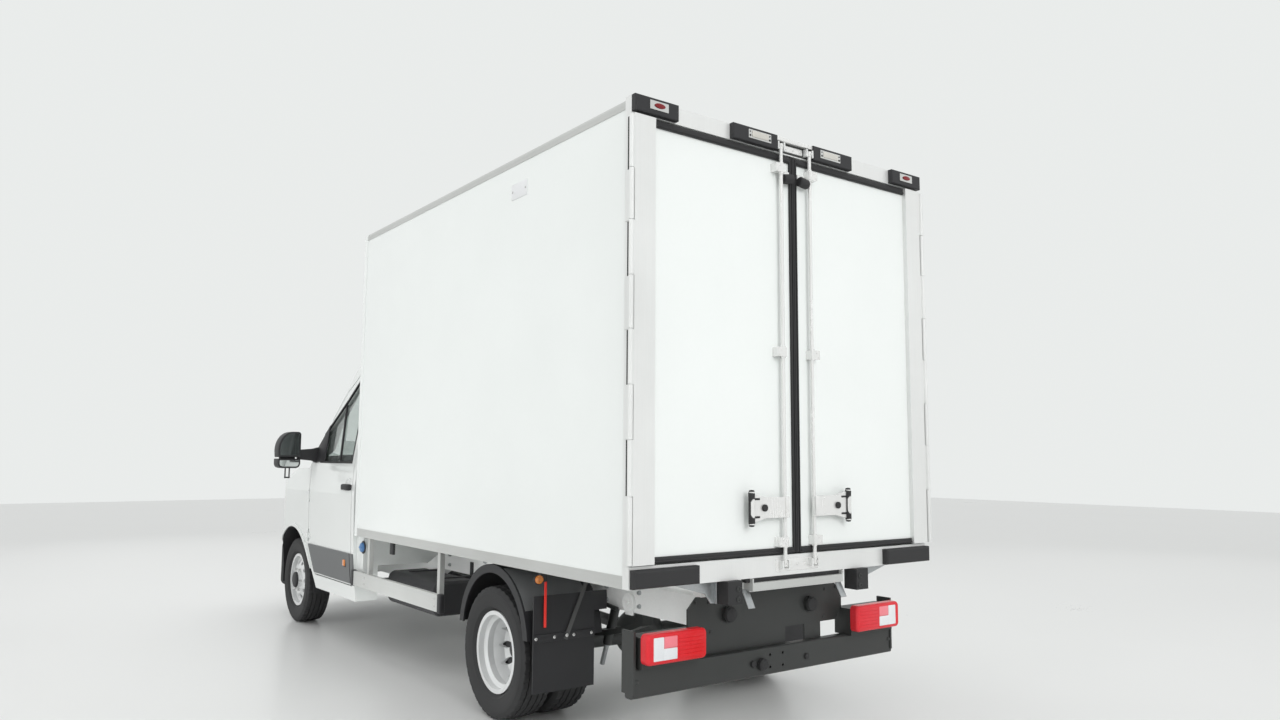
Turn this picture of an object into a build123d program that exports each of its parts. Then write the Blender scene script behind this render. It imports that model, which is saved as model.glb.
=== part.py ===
import os
from math import cos, radians, sin, sqrt

from build123d import *

# Refrigerated box body on a light chassis cab.
# X points forward, Y to the left, Z up; the ground is Z = 0 and X = 0 is mid-length.

# Layout
wheelbase = 3640
front_overhang = 990
rear_overhang = 1390
rear_axle_x = rear_overhang - (wheelbase + front_overhang + rear_overhang) / 2
front_axle_x = rear_axle_x + wheelbase
seat_gap = 0.3
moving_gap = 6
sides = ((1, "left"), (-1, "right"))

# Wheels
tyre_radius = 352
tyre_width = 205
tread_width = 168
rim_radius = 203
rim_flange_radius = 218
rim_half_width = 78
rim_wall = 7
front_wheel_y = 876
front_hub_plane_y = 950
rear_outer_y = 900
rear_inner_y = 660
rear_hub_plane_y = (rear_outer_y + rear_inner_y) / 2
hub_radius = 84
spindle_radius = 32
axle_end_radius = 58
vent_circle_radius = 146
vent_radius = 19
vent_count = 10

# Chassis frame
rail_outer_y = 465
rail_width = 70
rail_wall = 8
rail_height = 150
rail_top_z = 740
front_rail_top_z = 600
rail_rear_x = rear_axle_x - 1110
rail_kick_rear_x = rear_axle_x + 1750
rail_kick_front_x = rear_axle_x + 2080
rail_front_x = front_axle_x + 780
cross_member_size = 70
cross_members_from_rear_axle = (-1040, -420, 520, 1120, 1680)

# Load box
box_width = 2080
box_length = 3430
box_rear_x = rear_axle_x - 1338
box_front_x = box_rear_x + box_length
box_bottom_z = 836
box_top_z = 3060
side_wall = 60
roof_thickness = 80
floor_thickness = 90
front_wall = 80
rail_band = 56
rail_proud = 3
corner_radius = 32
bearer_size = 60
bearer_pitch = 400
bearer_start = 120
bearer_margin = 300
bearer_overhang = 20
half_box = box_width / 2
box_inside_y = half_box - rail_proud - side_wall
floor_top_z = box_bottom_z + floor_thickness
ceiling_z = box_top_z - roof_thickness

# Rear portal and its doors
portal_rear_x = box_rear_x + 20
portal_front_x = box_rear_x + 68
header_height = 82
sill_height = 98
post_inner_y = 935
door_edge_thickness = 26
door_edge_inner_y = 914
door_edge_outer_y = half_box - moving_gap
door_panel_thickness = 70
door_meeting_gap = 50
door_bottom_z = box_bottom_z + sill_height + moving_gap
door_top_z = box_top_z - header_height - moving_gap
hinge_radius = 12
hinge_pin_radius = 6
hinge_y = half_box + hinge_radius
hinge_leaf = 8
hinge_strap = 6
hinge_clearance = 3
# Each door knuckle: height of its foot, length
door_knuckles = ((1240, 245), (1730, 245), (2220, 250), (2712, 250))
lock_bar_radius = 10
lock_bar_y = 105
lock_bar_x = box_rear_x - 2
lock_bar_foot_z = 882
lock_bar_head_z = 3018
lock_guide_heights = (1000, 1940, 2890)
lock_guide_lap = 14
lock_guide_reach = 46
lock_guide_height = 46
handle_z = 1170
handle_flare_y = 250
handle_tip_y = 345
handle_depth = 12
handle_sink = 4
handle_half_height = 50
handle_flare = 72
handle_latch = (40, 26)
grip_radius = 15
grip_half_height = 78

# Rear equipment
buffer_inner_y = 660
buffer_outer_y = 1034
buffer_z = (840, 922)
buffer_round = 14
buffer_rear_x = box_rear_x - 16
dock_block_y = (405, 495)
dock_block_foot_z = 729
step_half_width = 320
step_bar_size = (26, 38)
step_top_z = 815
lamp_depth = 31
lamp_height = 78
outer_lamp_y = (785, half_box)
inner_lamp_y = (133, 438)
underrun_half_width = 905
underrun_z = (326, 461)
underrun_depth = 60
underrun_rear_x = rear_axle_x - 1168
end_bracket = 12
end_bracket_rise = 165
tow_hole_pitch = (90, 60)
tow_hole_radius = 7
rear_plate_half_width = 545
rear_plate_z = (540, 737)
rear_plate_thickness = 12
rear_plate_chamfer = 55
lower_plate_y = (-110, 437)
hanger_y = (255, 376)
plate_lap = 20
plug_radius = 40
plug_depth = 24
plug_place = (290, 641)
tail_lamp_y = (530, 883)
tail_lamp_foot = 20
tail_lamp_height = 138
tail_lamp_depth = 50
tail_lamp_corner = 24
tail_lamp_round = 16
lamp_housing_depth = 116
lamp_housing_lap = 2
lamp_housing_inset = 6
lens_proud = 80
end_bracket_proud = 6

# Mudguards and side guards
mudguard_radius = 392
mudguard_wall = 12
mudguard_centre_z = 431
mudguard_y = (540, 1004)
mudguard_foot_z = 470
mudguard_lip = 10
mudguard_lip_width = 46
flap_x = rear_axle_x - 425
flap_z = (214, 700)
flap_y = (620, 992)
flap_thickness = 8
flap_stay_z = (600, 640)
flap_stay_lap = 40
flap_stay_width = 60
guard_stay_half = 30
guard_stay_plate = 10
guard_stay_drop = 60
guard_stay_lap = 8
guard_stay_depth = (6, 28)
guard_outer_y = 1026
guard_thickness = 26
guard_z = (480, 582)
guard_x = (rear_axle_x + 640, rear_axle_x + 2105)
guard_post_width = 38
guard_post_depth = 30
guard_posts_from_rear_axle = (700, 1875)

# Cab
cab_rear_x = rear_axle_x + 2160
cab_wall = 50
cab_bottom_z = 350
cab_belt_z = 1330
nose_x = front_axle_x + 925
nose_foot_z = 650
nose_round = 60
# Brow of the nose: distance back from it, height
nose_brow_points = ((18, 930), (66, 1030), (180, 1104))
cowl_z = 1302
# Plan of the nose: where the side turns in, then points back from the nose, half width
plan_half_width = 1040
nose_turn_x = front_axle_x + 180
nose_side = (330, 860)
nose_corner = (90, 620)
cowl_x = front_axle_x + 60
screen_base_x = front_axle_x - 70
screen_base_z = 1350
screen_wrap = 330
screen_slope = (-606, 572)
screen_z = (screen_base_z + 60, 2130)
screen_foot_y = 890
screen_head_y = 770
screen_cut_x = cab_rear_x + 300
screen_half_chord = 1000
screen_drop = 300
screen_length = 1900
wedge_tail = 200
wedge_lift = 40
wedge_front_x = front_axle_x - 20
wedge_head_z = 1900
roof_z = 2290
# Roof line: distance forward of the cab's back, height
roof_points = ((0, roof_z - 22), (460, roof_z - 20), (1050, 2040))
# Breaks in the cab's side, from the sill up: half width, height
cab_side_points = (
    (982, cab_bottom_z),
    (985, 400),
    (1010, 700),
    (1020, 1120),
    (1005, cab_belt_z),
    (905, 2000),
)
cab_shoulder = (842, 2170)
cab_roof_edge = (660, 2256)
arch_radius = 455
arch_lip = 30
# Sloping rear edge of the arch: distance behind the axle, height
arch_tail_points = ((330, tyre_radius + 313), (590, cab_bottom_z - 20), (300, cab_bottom_z - 20))
arch_inner_y = 860
trim_proud = 10
wheelhouse_y = 520
wheelhouse_wall = 8
wheelhouse_outer_y = 960
wheelhouse_foot = 60
cab_floor_z = (600, 650)
firewall_x = front_axle_x - 200
firewall_thickness = 30
firewall_half_width = 975
firewall_top_z = 1240
cab_floor_half_width = 936
frame_opening_half_width = 820
sill_inner_y = 830
sill_setback = 190
wall_lap = 10
cut_past = 100
nose_cut_x = front_axle_x + 430
door_cut_y = 700
door_cut_reach = 500
shut_gap = 8
door_front_x = front_axle_x - 420
door_rear_x = cab_rear_x + 62
door_foot_z = 462
door_head_z = 2040
door_corner = 40
# Front edge of the door, from its head down: distance back from the hinge edge, height
door_front_points = (
    (800, door_head_z),
    (560, door_head_z - 130),
    (60, cab_belt_z + 130),
    (0, cab_belt_z + 10),
    (0, 700),
    (140, door_foot_z),
)
cab_hinge_y = 1021
cab_hinge_radius = 9
cab_hinge_pin = 5
cab_hinge_heights = (760, 1080)
cab_hinge_lug = 24
cab_hinge_barrel = 40
cab_hinge_strap = 44
glass_inset = 20
glass_thickness = 5
window_frame = 62
window_foot_z = cab_belt_z + 34
# Front edge of the window, from its head down: distance back from the hinge edge, height
window_front_points = (
    (790, door_head_z - window_frame),
    (610, door_head_z - 130 - window_frame),
    (200, window_foot_z + 220),
    (200, window_foot_z),
)
door_grip_setback = 60
door_grip_length = 190
door_grip_y = (1006, 1046)
door_grip_z = (1156, 1192)
bonnet_rear_x = front_axle_x + 100
bonnet_half_width = 790
bonnet_foot_z = 1004
bonnet_cut_z = 1400
bonnet_hinge_z = 1292
bonnet_hinge_y = 600

# Cab equipment
grille_half_width = 520
grille_z = (700, 990)
grille_bar = 16
grille_rim = 30
grille_first_slot = 24
grille_pitch = 46
# Headlamp outline: distance from the middle, height
headlamp_points = ((556, 800), (900, 768), (948, 1070), (830, 988), (590, 984))
bumper_z = (256, nose_foot_z)
bumper_proud = 62
bumper_wall = 80
bumper_rear_x = front_axle_x + 462
bumper_half_width = 1018
bumper_roll = 50
bumper_corner = 120
intake_half_width = 430
intake_slots = 4
intake_foot = 116
fog_place = (600, 440)
fog_floor_x = nose_x - 65
fog_radius = 46
seat_x = cab_rear_x + 130
driver_y = 470
seat_width = 500
bench_y = (-880, -60)
seat_base_z = 1000
seat_head_z = 1690
seat_head_round = 40
# Side of a seat: distance forward of its back, height
seat_points = (
    (90, cab_floor_z[1]),
    (500, cab_floor_z[1]),
    (520, seat_base_z - 120),
    (560, seat_base_z - 90),
    (560, seat_base_z + 30),
    (200, seat_base_z),
    (110, seat_head_z),
    (0, seat_head_z),
    (90, seat_base_z - 120),
)
wheel_centre = (front_axle_x - 640, driver_y, 1250)
wheel_tilt = 32
steering_ring_radius = 190
steering_tube_radius = 14
column_radius = 20
column_length = 300
steering_hub_depth = 70
steering_hub_radius = 44
spoke_angles = (0, 180, 270)
spoke_size = (34, 16)
dash_depth = 330
dash_half_width = 900
dash_z = (1010, 1300)
dash_round = 60
headrest_size = (86, 250, 170)
headrest_rise = 36
headrest_post = 9
headrest_lap = 20
# Mirror sail at the window's front corner: distance back from the hinge edge, height over the belt
sail_points = ((320, 40), (40, 24), (78, 130), (300, 326))
mirror_x = door_front_x - 100
mirror_y = (1140, 1325)
mirror_z = (1310, 1603)
mirror_split_z = (1386, 1398)
mirror_depth = (50, 80)
mirror_glass_recess = 4
mirror_rim = 12
mirror_glass_corner = 16
mirror_crown_round = 60
mirror_foot_round = 30
mirror_front_round = 24
mirror_arm_half = 26
mirror_arm_root_y = 960
mirror_lap = 30
mirror_arm_z = (1375, 1462)
cladding_z = (474, 692)
filler_panel_z = (480, box_bottom_z - 12)
filler_panel_depth = 130
filler_panel_inner_y = 930

# Running gear
king_pin_y = 770
king_pin_radius = 18
knuckle_sleeve_radius = 38
brake_disc_radius = 150
axle_tube_radius = 52
spring_half_length = 640
spring_width = 66
spring_leaf = 30
engine_x = (front_axle_x - 60, front_axle_x + 640)
engine_half_width = 310
engine_z = (470, 1030)
engine_mount = (200, 300)
engine_mount_height = 50
beam_z = (234, 304)
beam_half_width = 45
sleeve_z = (beam_z[1] + moving_gap, beam_z[1] + 160)
tank_x = (rear_axle_x + 1150, rear_axle_x + 1960)
tank_y = (500, 820)
tank_z = (360, 584)
tank_long_round = 50
tank_end_round = 20
straps_from_tank_end = (150, 620)
strap_width = 40
strap_lap = 20
strap_proud = 6
strap_plate = 8
strap_short = 100
strap_drop = 60
silencer_place = (-620, 560)
silencer_radius = 105
silencer_length = 560
pipe_radius = 32
tail_pipe_length = 260
down_pipe_setback = 700
silencer_hook = (200, 240)
silencer_hook_z = (620, 660)

os.makedirs("parts", exist_ok=True)


def save(piece, name):
    piece.part.label = name
    export_step(piece.part, f"parts/{name}.step")


def block(x_span, y_span, z_span, mode=Mode.ADD):
    spans = (x_span, y_span, z_span)
    with Locations(tuple((low + high) / 2 for low, high in spans)):
        Box(*(abs(high - low) for low, high in spans), mode=mode)


def rod(radius, start, end, mode=Mode.ADD):
    line = Vector(*end) - Vector(*start)
    with BuildSketch(Plane(origin=start, z_dir=line)) as end_face:
        Circle(radius)
    extrude(end_face.sketch, amount=line.length, mode=mode)


def across(side, low, high):
    return tuple(sorted((side * low, side * high)))


# Ladder frame: two channels that step down under the cab, and cross members
def rail_outline(inset):
    rail_foot = rail_height - inset
    return (
        (rail_rear_x, rail_top_z - rail_foot),
        (rail_kick_rear_x, rail_top_z - rail_foot),
        (rail_kick_front_x, front_rail_top_z - rail_foot),
        (rail_front_x, front_rail_top_z - rail_foot),
        (rail_front_x, front_rail_top_z - inset),
        (rail_kick_front_x, front_rail_top_z - inset),
        (rail_kick_rear_x, rail_top_z - inset),
        (rail_rear_x, rail_top_z - inset),
    )


with BuildPart() as chassis_frame:
    with BuildSketch(Plane.XZ.offset(-rail_outer_y)):
        Polygon(*rail_outline(0), align=None)
    extrude(amount=rail_width)
    with BuildSketch(Plane.XZ.offset(rail_wall - rail_outer_y)):
        Polygon(*rail_outline(rail_wall), align=None)
    extrude(amount=rail_width, mode=Mode.SUBTRACT)
    mirror(about=Plane.XZ)
    member_y = rail_outer_y - rail_wall
    member_z = rail_top_z - rail_height / 2
    for reach in cross_members_from_rear_axle:
        block(
            (rear_axle_x + reach - cross_member_size / 2, rear_axle_x + reach + cross_member_size / 2),
            (-member_y, member_y),
            (member_z - cross_member_size / 2, member_z + cross_member_size / 2),
        )
    front_member_x = rail_front_x - cross_member_size
    block(
        (front_member_x, rail_front_x),
        (-member_y, member_y),
        (front_rail_top_z - rail_height + rail_wall, front_rail_top_z - rail_wall),
    )
save(chassis_frame, "chassis_frame")

# Box floor with its cross bearers, which stand on the frame rails
with BuildPart() as box_floor:
    block(
        (portal_front_x, box_front_x - front_wall),
        (-box_inside_y, box_inside_y),
        (box_bottom_z, floor_top_z),
    )
    bearer_count = int((box_length - bearer_margin) // bearer_pitch)
    for step in range(bearer_count):
        bearer_x = portal_front_x + bearer_start + step * bearer_pitch
        block(
            (bearer_x, bearer_x + bearer_size),
            (-rail_outer_y - bearer_overhang, rail_outer_y + bearer_overhang),
            (rail_top_z, box_bottom_z),
        )
save(box_floor, "box_floor")

# Sandwich walls between the edge rails
wall_x = (portal_front_x, box_front_x - front_wall)
wall_z = (box_bottom_z + rail_band, box_top_z - rail_band)
for side, hand in sides:
    with BuildPart() as box_side:
        block(wall_x, across(side, box_inside_y, half_box - rail_proud), wall_z)
    save(box_side, f"box_side_{hand}")

with BuildPart() as box_edge_rails:
    for side, hand in sides:
        block(wall_x, across(side, box_inside_y, half_box), (box_bottom_z, wall_z[0]))
        block(wall_x, across(side, box_inside_y, half_box), (wall_z[1], box_top_z))
    top_edges = box_edge_rails.edges().filter_by(Axis.X).group_by(Axis.Z)[-1]
    fillet([edge for edge in top_edges if abs(edge.center().Y) > box_inside_y + 1], corner_radius)
save(box_edge_rails, "box_edge_rails")

with BuildPart() as box_roof:
    block(wall_x, (-box_inside_y, box_inside_y), (ceiling_z, box_top_z))
save(box_roof, "box_roof")

with BuildPart() as box_front_wall:
    block((box_front_x - front_wall, box_front_x), (-half_box, half_box), (box_bottom_z, box_top_z))
    front_face = box_front_wall.faces().sort_by(Axis.X)[-1]
    fillet(front_face.edges(), corner_radius)
    back_top = box_front_wall.edges().filter_by(Axis.X).group_by(Axis.Z)[-1]
    fillet(back_top, corner_radius / 2)
save(box_front_wall, "box_front_wall")

# Rear portal: posts, header, sill, the fixed hinge knuckles, their pins and the lock keepers
knuckle_feet = [foot for foot, length in door_knuckles]
knuckle_heads = [foot + length for foot, length in door_knuckles]
fixed_spans = [
    (low + hinge_clearance, high - hinge_clearance)
    for low, high in zip([door_bottom_z] + knuckle_heads[:-1], knuckle_feet)
]
with BuildPart() as box_rear_frame:
    block((portal_rear_x, portal_front_x), (-half_box, half_box), (box_top_z - header_height, box_top_z))
    block((portal_rear_x, portal_front_x), (-half_box, half_box), (box_bottom_z, box_bottom_z + sill_height))
    for side, hand in sides:
        post_rear_x = box_rear_x + door_edge_thickness + moving_gap
        block((post_rear_x, portal_front_x), across(side, post_inner_y, half_box), (box_bottom_z, box_top_z))
        for low, high in fixed_spans:
            rod(hinge_radius, (box_rear_x, side * hinge_y, low), (box_rear_x, side * hinge_y, high))
            block(
                (box_rear_x, portal_front_x - 8),
                across(side, half_box, half_box + hinge_strap),
                (low, high),
            )
        rod(
            hinge_pin_radius,
            (box_rear_x, side * hinge_y, fixed_spans[0][0]),
            (box_rear_x, side * hinge_y, knuckle_heads[-1]),
        )
        keeper_inner = lock_bar_radius + moving_gap
        for toward in (1, -1):
            keeper_y = across(
                1,
                side * lock_bar_y + toward * keeper_inner,
                side * lock_bar_y + toward * (keeper_inner + 10),
            )
            block((lock_bar_x - 8, portal_rear_x), keeper_y, (lock_bar_head_z - 28, lock_bar_head_z + 12))
            block((lock_bar_x - 8, portal_rear_x), keeper_y, (lock_bar_foot_z - 12, lock_bar_foot_z + 28))
save(box_rear_frame, "box_rear_frame")

# Rear doors: leaf, aluminium hinge edge, lock gear
leaf_rear_x = box_rear_x + door_edge_thickness
for side, hand in sides:
    with BuildPart() as rear_door:
        block(
            (leaf_rear_x, leaf_rear_x + door_panel_thickness),
            across(side, door_meeting_gap / 2, post_inner_y - moving_gap - 4),
            (door_bottom_z, door_top_z),
        )
        fillet(rear_door.edges().filter_by(Axis.X), 12)
    save(rear_door, f"rear_door_{hand}")

    with BuildPart() as rear_door_edge:
        block(
            (box_rear_x, leaf_rear_x),
            across(side, door_edge_inner_y, door_edge_outer_y),
            (door_bottom_z, door_top_z),
        )
        for foot, length in door_knuckles:
            block(
                (box_rear_x, box_rear_x + hinge_leaf),
                across(side, door_edge_inner_y, hinge_y),
                (foot, foot + length),
            )
            rod(
                hinge_radius,
                (box_rear_x, side * hinge_y, foot),
                (box_rear_x, side * hinge_y, foot + length),
            )
        rod(
            hinge_pin_radius + seat_gap,
            (box_rear_x, side * hinge_y, door_bottom_z),
            (box_rear_x, side * hinge_y, door_top_z),
            Mode.SUBTRACT,
        )
    save(rear_door_edge, f"rear_door_edge_{hand}")

    with BuildPart() as rear_door_lock:
        bar_y = side * lock_bar_y
        rod(lock_bar_radius, (lock_bar_x, bar_y, lock_bar_foot_z), (lock_bar_x, bar_y, lock_bar_head_z))
        for height in lock_guide_heights:
            block(
                (lock_bar_x - lock_bar_radius - 4, leaf_rear_x),
                across(side, lock_bar_y - lock_guide_lap, lock_bar_y + lock_guide_reach),
                (height - lock_guide_height / 2, height + lock_guide_height / 2),
            )
        handle_x = lock_bar_x - lock_bar_radius - handle_depth + handle_sink
        root_y = lock_bar_y - lock_guide_lap
        with BuildSketch(Plane.YZ.offset(handle_x)):
            Polygon(
                (side * root_y, handle_z - handle_half_height),
                (side * handle_flare_y, handle_z - handle_half_height),
                (side * handle_tip_y, handle_z - handle_flare),
                (side * handle_tip_y, handle_z + handle_flare),
                (side * handle_flare_y, handle_z + handle_half_height),
                (side * root_y, handle_z + handle_half_height),
                align=None,
            )
        extrude(amount=handle_depth)
        rod(
            grip_radius,
            (handle_x, side * handle_tip_y, handle_z - grip_half_height),
            (handle_x, side * handle_tip_y, handle_z + grip_half_height),
        )
        latch_width, latch_half_height = handle_latch
        block(
            (handle_x, leaf_rear_x),
            across(side, handle_flare_y, handle_flare_y + latch_width),
            (handle_z - latch_half_height, handle_z + latch_half_height),
        )
    save(rear_door_lock, f"rear_door_lock_{hand}")

# Rubber: corner buffers on the sill, dock blocks under it
with BuildPart() as rubber_buffers:
    for side, hand in sides:
        block((buffer_rear_x, portal_rear_x), across(side, buffer_inner_y, buffer_outer_y), buffer_z)
    fillet(rubber_buffers.faces().group_by(Axis.X)[0].edges(), buffer_round)
    for side, hand in sides:
        block(
            (buffer_rear_x, portal_front_x),
            across(side, *dock_block_y),
            (dock_block_foot_z, box_bottom_z),
        )
save(rubber_buffers, "rubber_buffers")

with BuildPart() as header_lamps:
    lamp_top_z = box_top_z
    for side, hand in sides:
        for lamp_y in (outer_lamp_y, inner_lamp_y):
            block(
                (portal_rear_x - lamp_depth, portal_rear_x),
                across(side, *lamp_y),
                (lamp_top_z - lamp_height, lamp_top_z),
            )
    fillet(header_lamps.faces().group_by(Axis.X)[0].edges(), 6)
save(header_lamps, "header_lamps")

with BuildPart() as rear_step:
    step_x = box_rear_x + 4
    bar_depth, bar_height = step_bar_size
    block(
        (step_x, step_x + bar_depth),
        (-step_half_width, step_half_width),
        (step_top_z - bar_height, step_top_z),
    )
    for side, hand in sides:
        block(
            (step_x, portal_front_x),
            across(side, step_half_width - 8, step_half_width),
            (step_top_z - bar_height, box_bottom_z),
        )
save(rear_step, "rear_step")

# Underrun beam, its hangers and the black end plate on the frame
with BuildPart() as underrun_bar:
    block(
        (underrun_rear_x, underrun_rear_x + underrun_depth),
        (-underrun_half_width, underrun_half_width),
        underrun_z,
    )
    fillet(underrun_bar.edges().filter_by(Axis.Y), 12)
    plate_x = (rail_rear_x - rear_plate_thickness, rail_rear_x)
    lap_z = (underrun_z[1] - plate_lap, rear_plate_z[0] + plate_lap)
    with BuildSketch(Plane.YZ.offset(plate_x[0])) as plate:
        with Locations((0, (rear_plate_z[0] + rear_plate_z[1]) / 2)):
            Rectangle(2 * rear_plate_half_width, rear_plate_z[1] - rear_plate_z[0])
        chamfer(plate.vertices(), rear_plate_chamfer)
    extrude(amount=rear_plate_thickness)
    block(plate_x, lower_plate_y, lap_z)
    housing_x = underrun_rear_x - lens_proud + tail_lamp_depth
    for side, hand in sides:
        block(plate_x, across(side, *hanger_y), lap_z)
        plug_y, plug_z = plug_place
        rod(
            plug_radius,
            (plate_x[0] - plug_depth, side * plug_y, plug_z),
            (plate_x[0], side * plug_y, plug_z),
        )
        block(
            (housing_x, housing_x + lamp_housing_depth),
            across(side, tail_lamp_y[0] + lamp_housing_inset, tail_lamp_y[1] - lamp_housing_inset),
            (underrun_z[1] - lamp_housing_lap, underrun_z[1] + tail_lamp_height),
        )
        block(
            (underrun_rear_x - end_bracket_proud, housing_x + lamp_housing_depth),
            across(side, underrun_half_width - end_bracket, underrun_half_width),
            (underrun_z[0] + plate_lap, underrun_z[1] + end_bracket_rise),
        )
    hole_z = (underrun_z[0] + underrun_z[1]) / 2
    with BuildSketch(Plane.YZ.offset(underrun_rear_x - 1)):
        with Locations((0, hole_z)):
            with GridLocations(*tow_hole_pitch, 2, 2):
                Circle(tow_hole_radius)
    extrude(amount=underrun_depth + 2, mode=Mode.SUBTRACT)
save(underrun_bar, "underrun_bar")

with BuildPart() as tail_lamps:
    for side, hand in sides:
        block(
            (underrun_rear_x - lens_proud, underrun_rear_x - lens_proud + tail_lamp_depth),
            across(side, *tail_lamp_y),
            (underrun_z[1] + tail_lamp_foot, underrun_z[1] + tail_lamp_foot + tail_lamp_height),
        )
    fillet(tail_lamps.edges().filter_by(Axis.X), tail_lamp_corner)
    fillet(tail_lamps.faces().group_by(Axis.X)[0].edges(), tail_lamp_round)
save(tail_lamps, "tail_lamps")

# Mudguards over the twin wheels, with the flaps behind them
with BuildPart() as rear_mudguards:
    for side, hand in sides:
        with BuildSketch(Plane.XZ.offset(-side * mudguard_y[0])):
            with Locations((rear_axle_x, mudguard_centre_z)):
                Circle(mudguard_radius)
                Circle(mudguard_radius - mudguard_wall, mode=Mode.SUBTRACT)
            with Locations((rear_axle_x, mudguard_foot_z - mudguard_radius)):
                Rectangle(4 * mudguard_radius, 2 * mudguard_radius, mode=Mode.SUBTRACT)
        extrude(amount=-side * (mudguard_y[1] - mudguard_y[0]))
        with BuildSketch(Plane.XZ.offset(-side * (mudguard_y[1] - mudguard_lip))):
            with Locations((rear_axle_x, mudguard_centre_z)):
                Circle(mudguard_radius)
                Circle(mudguard_radius - mudguard_lip_width, mode=Mode.SUBTRACT)
            with Locations((rear_axle_x, mudguard_foot_z - mudguard_radius)):
                Rectangle(4 * mudguard_radius, 2 * mudguard_radius, mode=Mode.SUBTRACT)
        extrude(amount=-side * mudguard_lip)
        block((flap_x - flap_thickness, flap_x), across(side, *flap_y), flap_z)
        block(
            (flap_x, rear_axle_x - mudguard_radius + flap_stay_lap),
            across(side, mudguard_y[0], mudguard_y[0] + flap_stay_width),
            flap_stay_z,
        )
        block(
            (flap_x - flap_thickness, flap_x),
            across(side, mudguard_y[0], flap_y[0]),
            (flap_stay_z[0], flap_z[1]),
        )
        mudguard_top_z = mudguard_centre_z + mudguard_radius
        block(
            (rear_axle_x - guard_stay_half, rear_axle_x + guard_stay_half),
            across(side, rail_outer_y, rail_outer_y + guard_stay_plate),
            (rail_top_z - guard_stay_drop, mudguard_top_z - guard_stay_depth[0]),
        )
        block(
            (rear_axle_x - guard_stay_half, rear_axle_x + guard_stay_half),
            across(side, rail_outer_y, mudguard_y[0] + guard_stay_lap),
            (mudguard_top_z - guard_stay_depth[1], mudguard_top_z - guard_stay_depth[0]),
        )
save(rear_mudguards, "rear_mudguards")

with BuildPart() as side_guards:
    for side, hand in sides:
        guard_y = across(side, guard_outer_y - guard_thickness, guard_outer_y)
        guard_post_y = guard_outer_y - guard_thickness - guard_post_depth
        block(guard_x, guard_y, guard_z)
        for reach in guard_posts_from_rear_axle:
            post_x = rear_axle_x + reach
            block(
                (post_x - guard_post_width / 2, post_x + guard_post_width / 2),
                across(side, guard_post_y, guard_outer_y - guard_thickness),
                (guard_z[0], box_bottom_z),
            )
save(side_guards, "side_guards")

# Fuel tank under the left rail, silencer under the right
with BuildPart() as fuel_tank:
    block(tank_x, tank_y, tank_z)
    fillet(fuel_tank.edges().filter_by(Axis.X), tank_long_round)
    fillet(fuel_tank.faces().filter_by(Axis.X).edges(), tank_end_round)
    strap_foot_z = tank_z[1] - strap_lap
    for reach in straps_from_tank_end:
        strap_x = (tank_x[0] + reach, tank_x[0] + reach + strap_width)
        block(strap_x, (rail_outer_y, tank_y[1] - strap_short), (strap_foot_z, tank_z[1] + strap_proud))
        block(strap_x, (rail_outer_y, rail_outer_y + strap_plate), (strap_foot_z, rail_top_z - strap_drop))
save(fuel_tank, "fuel_tank")

with BuildPart() as exhaust:
    silencer_rear, silencer_front = tank_x[0], tank_x[0] + silencer_length
    rod(silencer_radius, (silencer_rear, *silencer_place), (silencer_front, *silencer_place))
    rod(pipe_radius, (silencer_front, *silencer_place), (front_axle_x - down_pipe_setback, *silencer_place))
    rod(pipe_radius, (silencer_rear - tail_pipe_length, *silencer_place), (silencer_rear, *silencer_place))
    block(
        (silencer_rear + silencer_hook[0], silencer_rear + silencer_hook[1]),
        (silencer_place[0], -rail_outer_y),
        silencer_hook_z,
    )
save(exhaust, "exhaust")

# Cab body as the common volume of its front section, side outline and plan
def cab_section(inset):
    foot_z = cab_bottom_z - 2 * inset
    with BuildLine() as outline:
        for side in (1, -1):
            side_points = [(side * half_width, height) for half_width, height in cab_side_points]
            Polyline((0, foot_z), (side_points[0][0], foot_z), *side_points[1:])
            shoulder_y, shoulder_z = cab_shoulder
            roof_y, roof_edge_z = cab_roof_edge
            ThreePointArc(side_points[-1], (side * shoulder_y, shoulder_z), (side * roof_y, roof_edge_z))
        ThreePointArc((roof_y, roof_edge_z), (0, roof_z), (-roof_y, roof_edge_z))
    make_face(outline.edges())
    if inset:
        offset(amount=-inset)


def plan_outline(proud, inset):
    front_x = nose_x + proud
    side_x, side_y = front_x - nose_side[0], nose_side[1]
    corner_x, corner_y = front_x - nose_corner[0], nose_corner[1]
    with BuildLine() as outline:
        for side in (1, -1):
            turn = (nose_turn_x, side * plan_half_width)
            Line((cab_rear_x, side * plan_half_width), turn)
            ThreePointArc(turn, (side_x, side * side_y), (corner_x, side * corner_y))
        ThreePointArc((corner_x, corner_y), (front_x, 0), (corner_x, -corner_y))
        Line((cab_rear_x, plan_half_width), (cab_rear_x, -plan_half_width))
    make_face(outline.edges())
    if inset:
        offset(amount=-inset)


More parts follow.
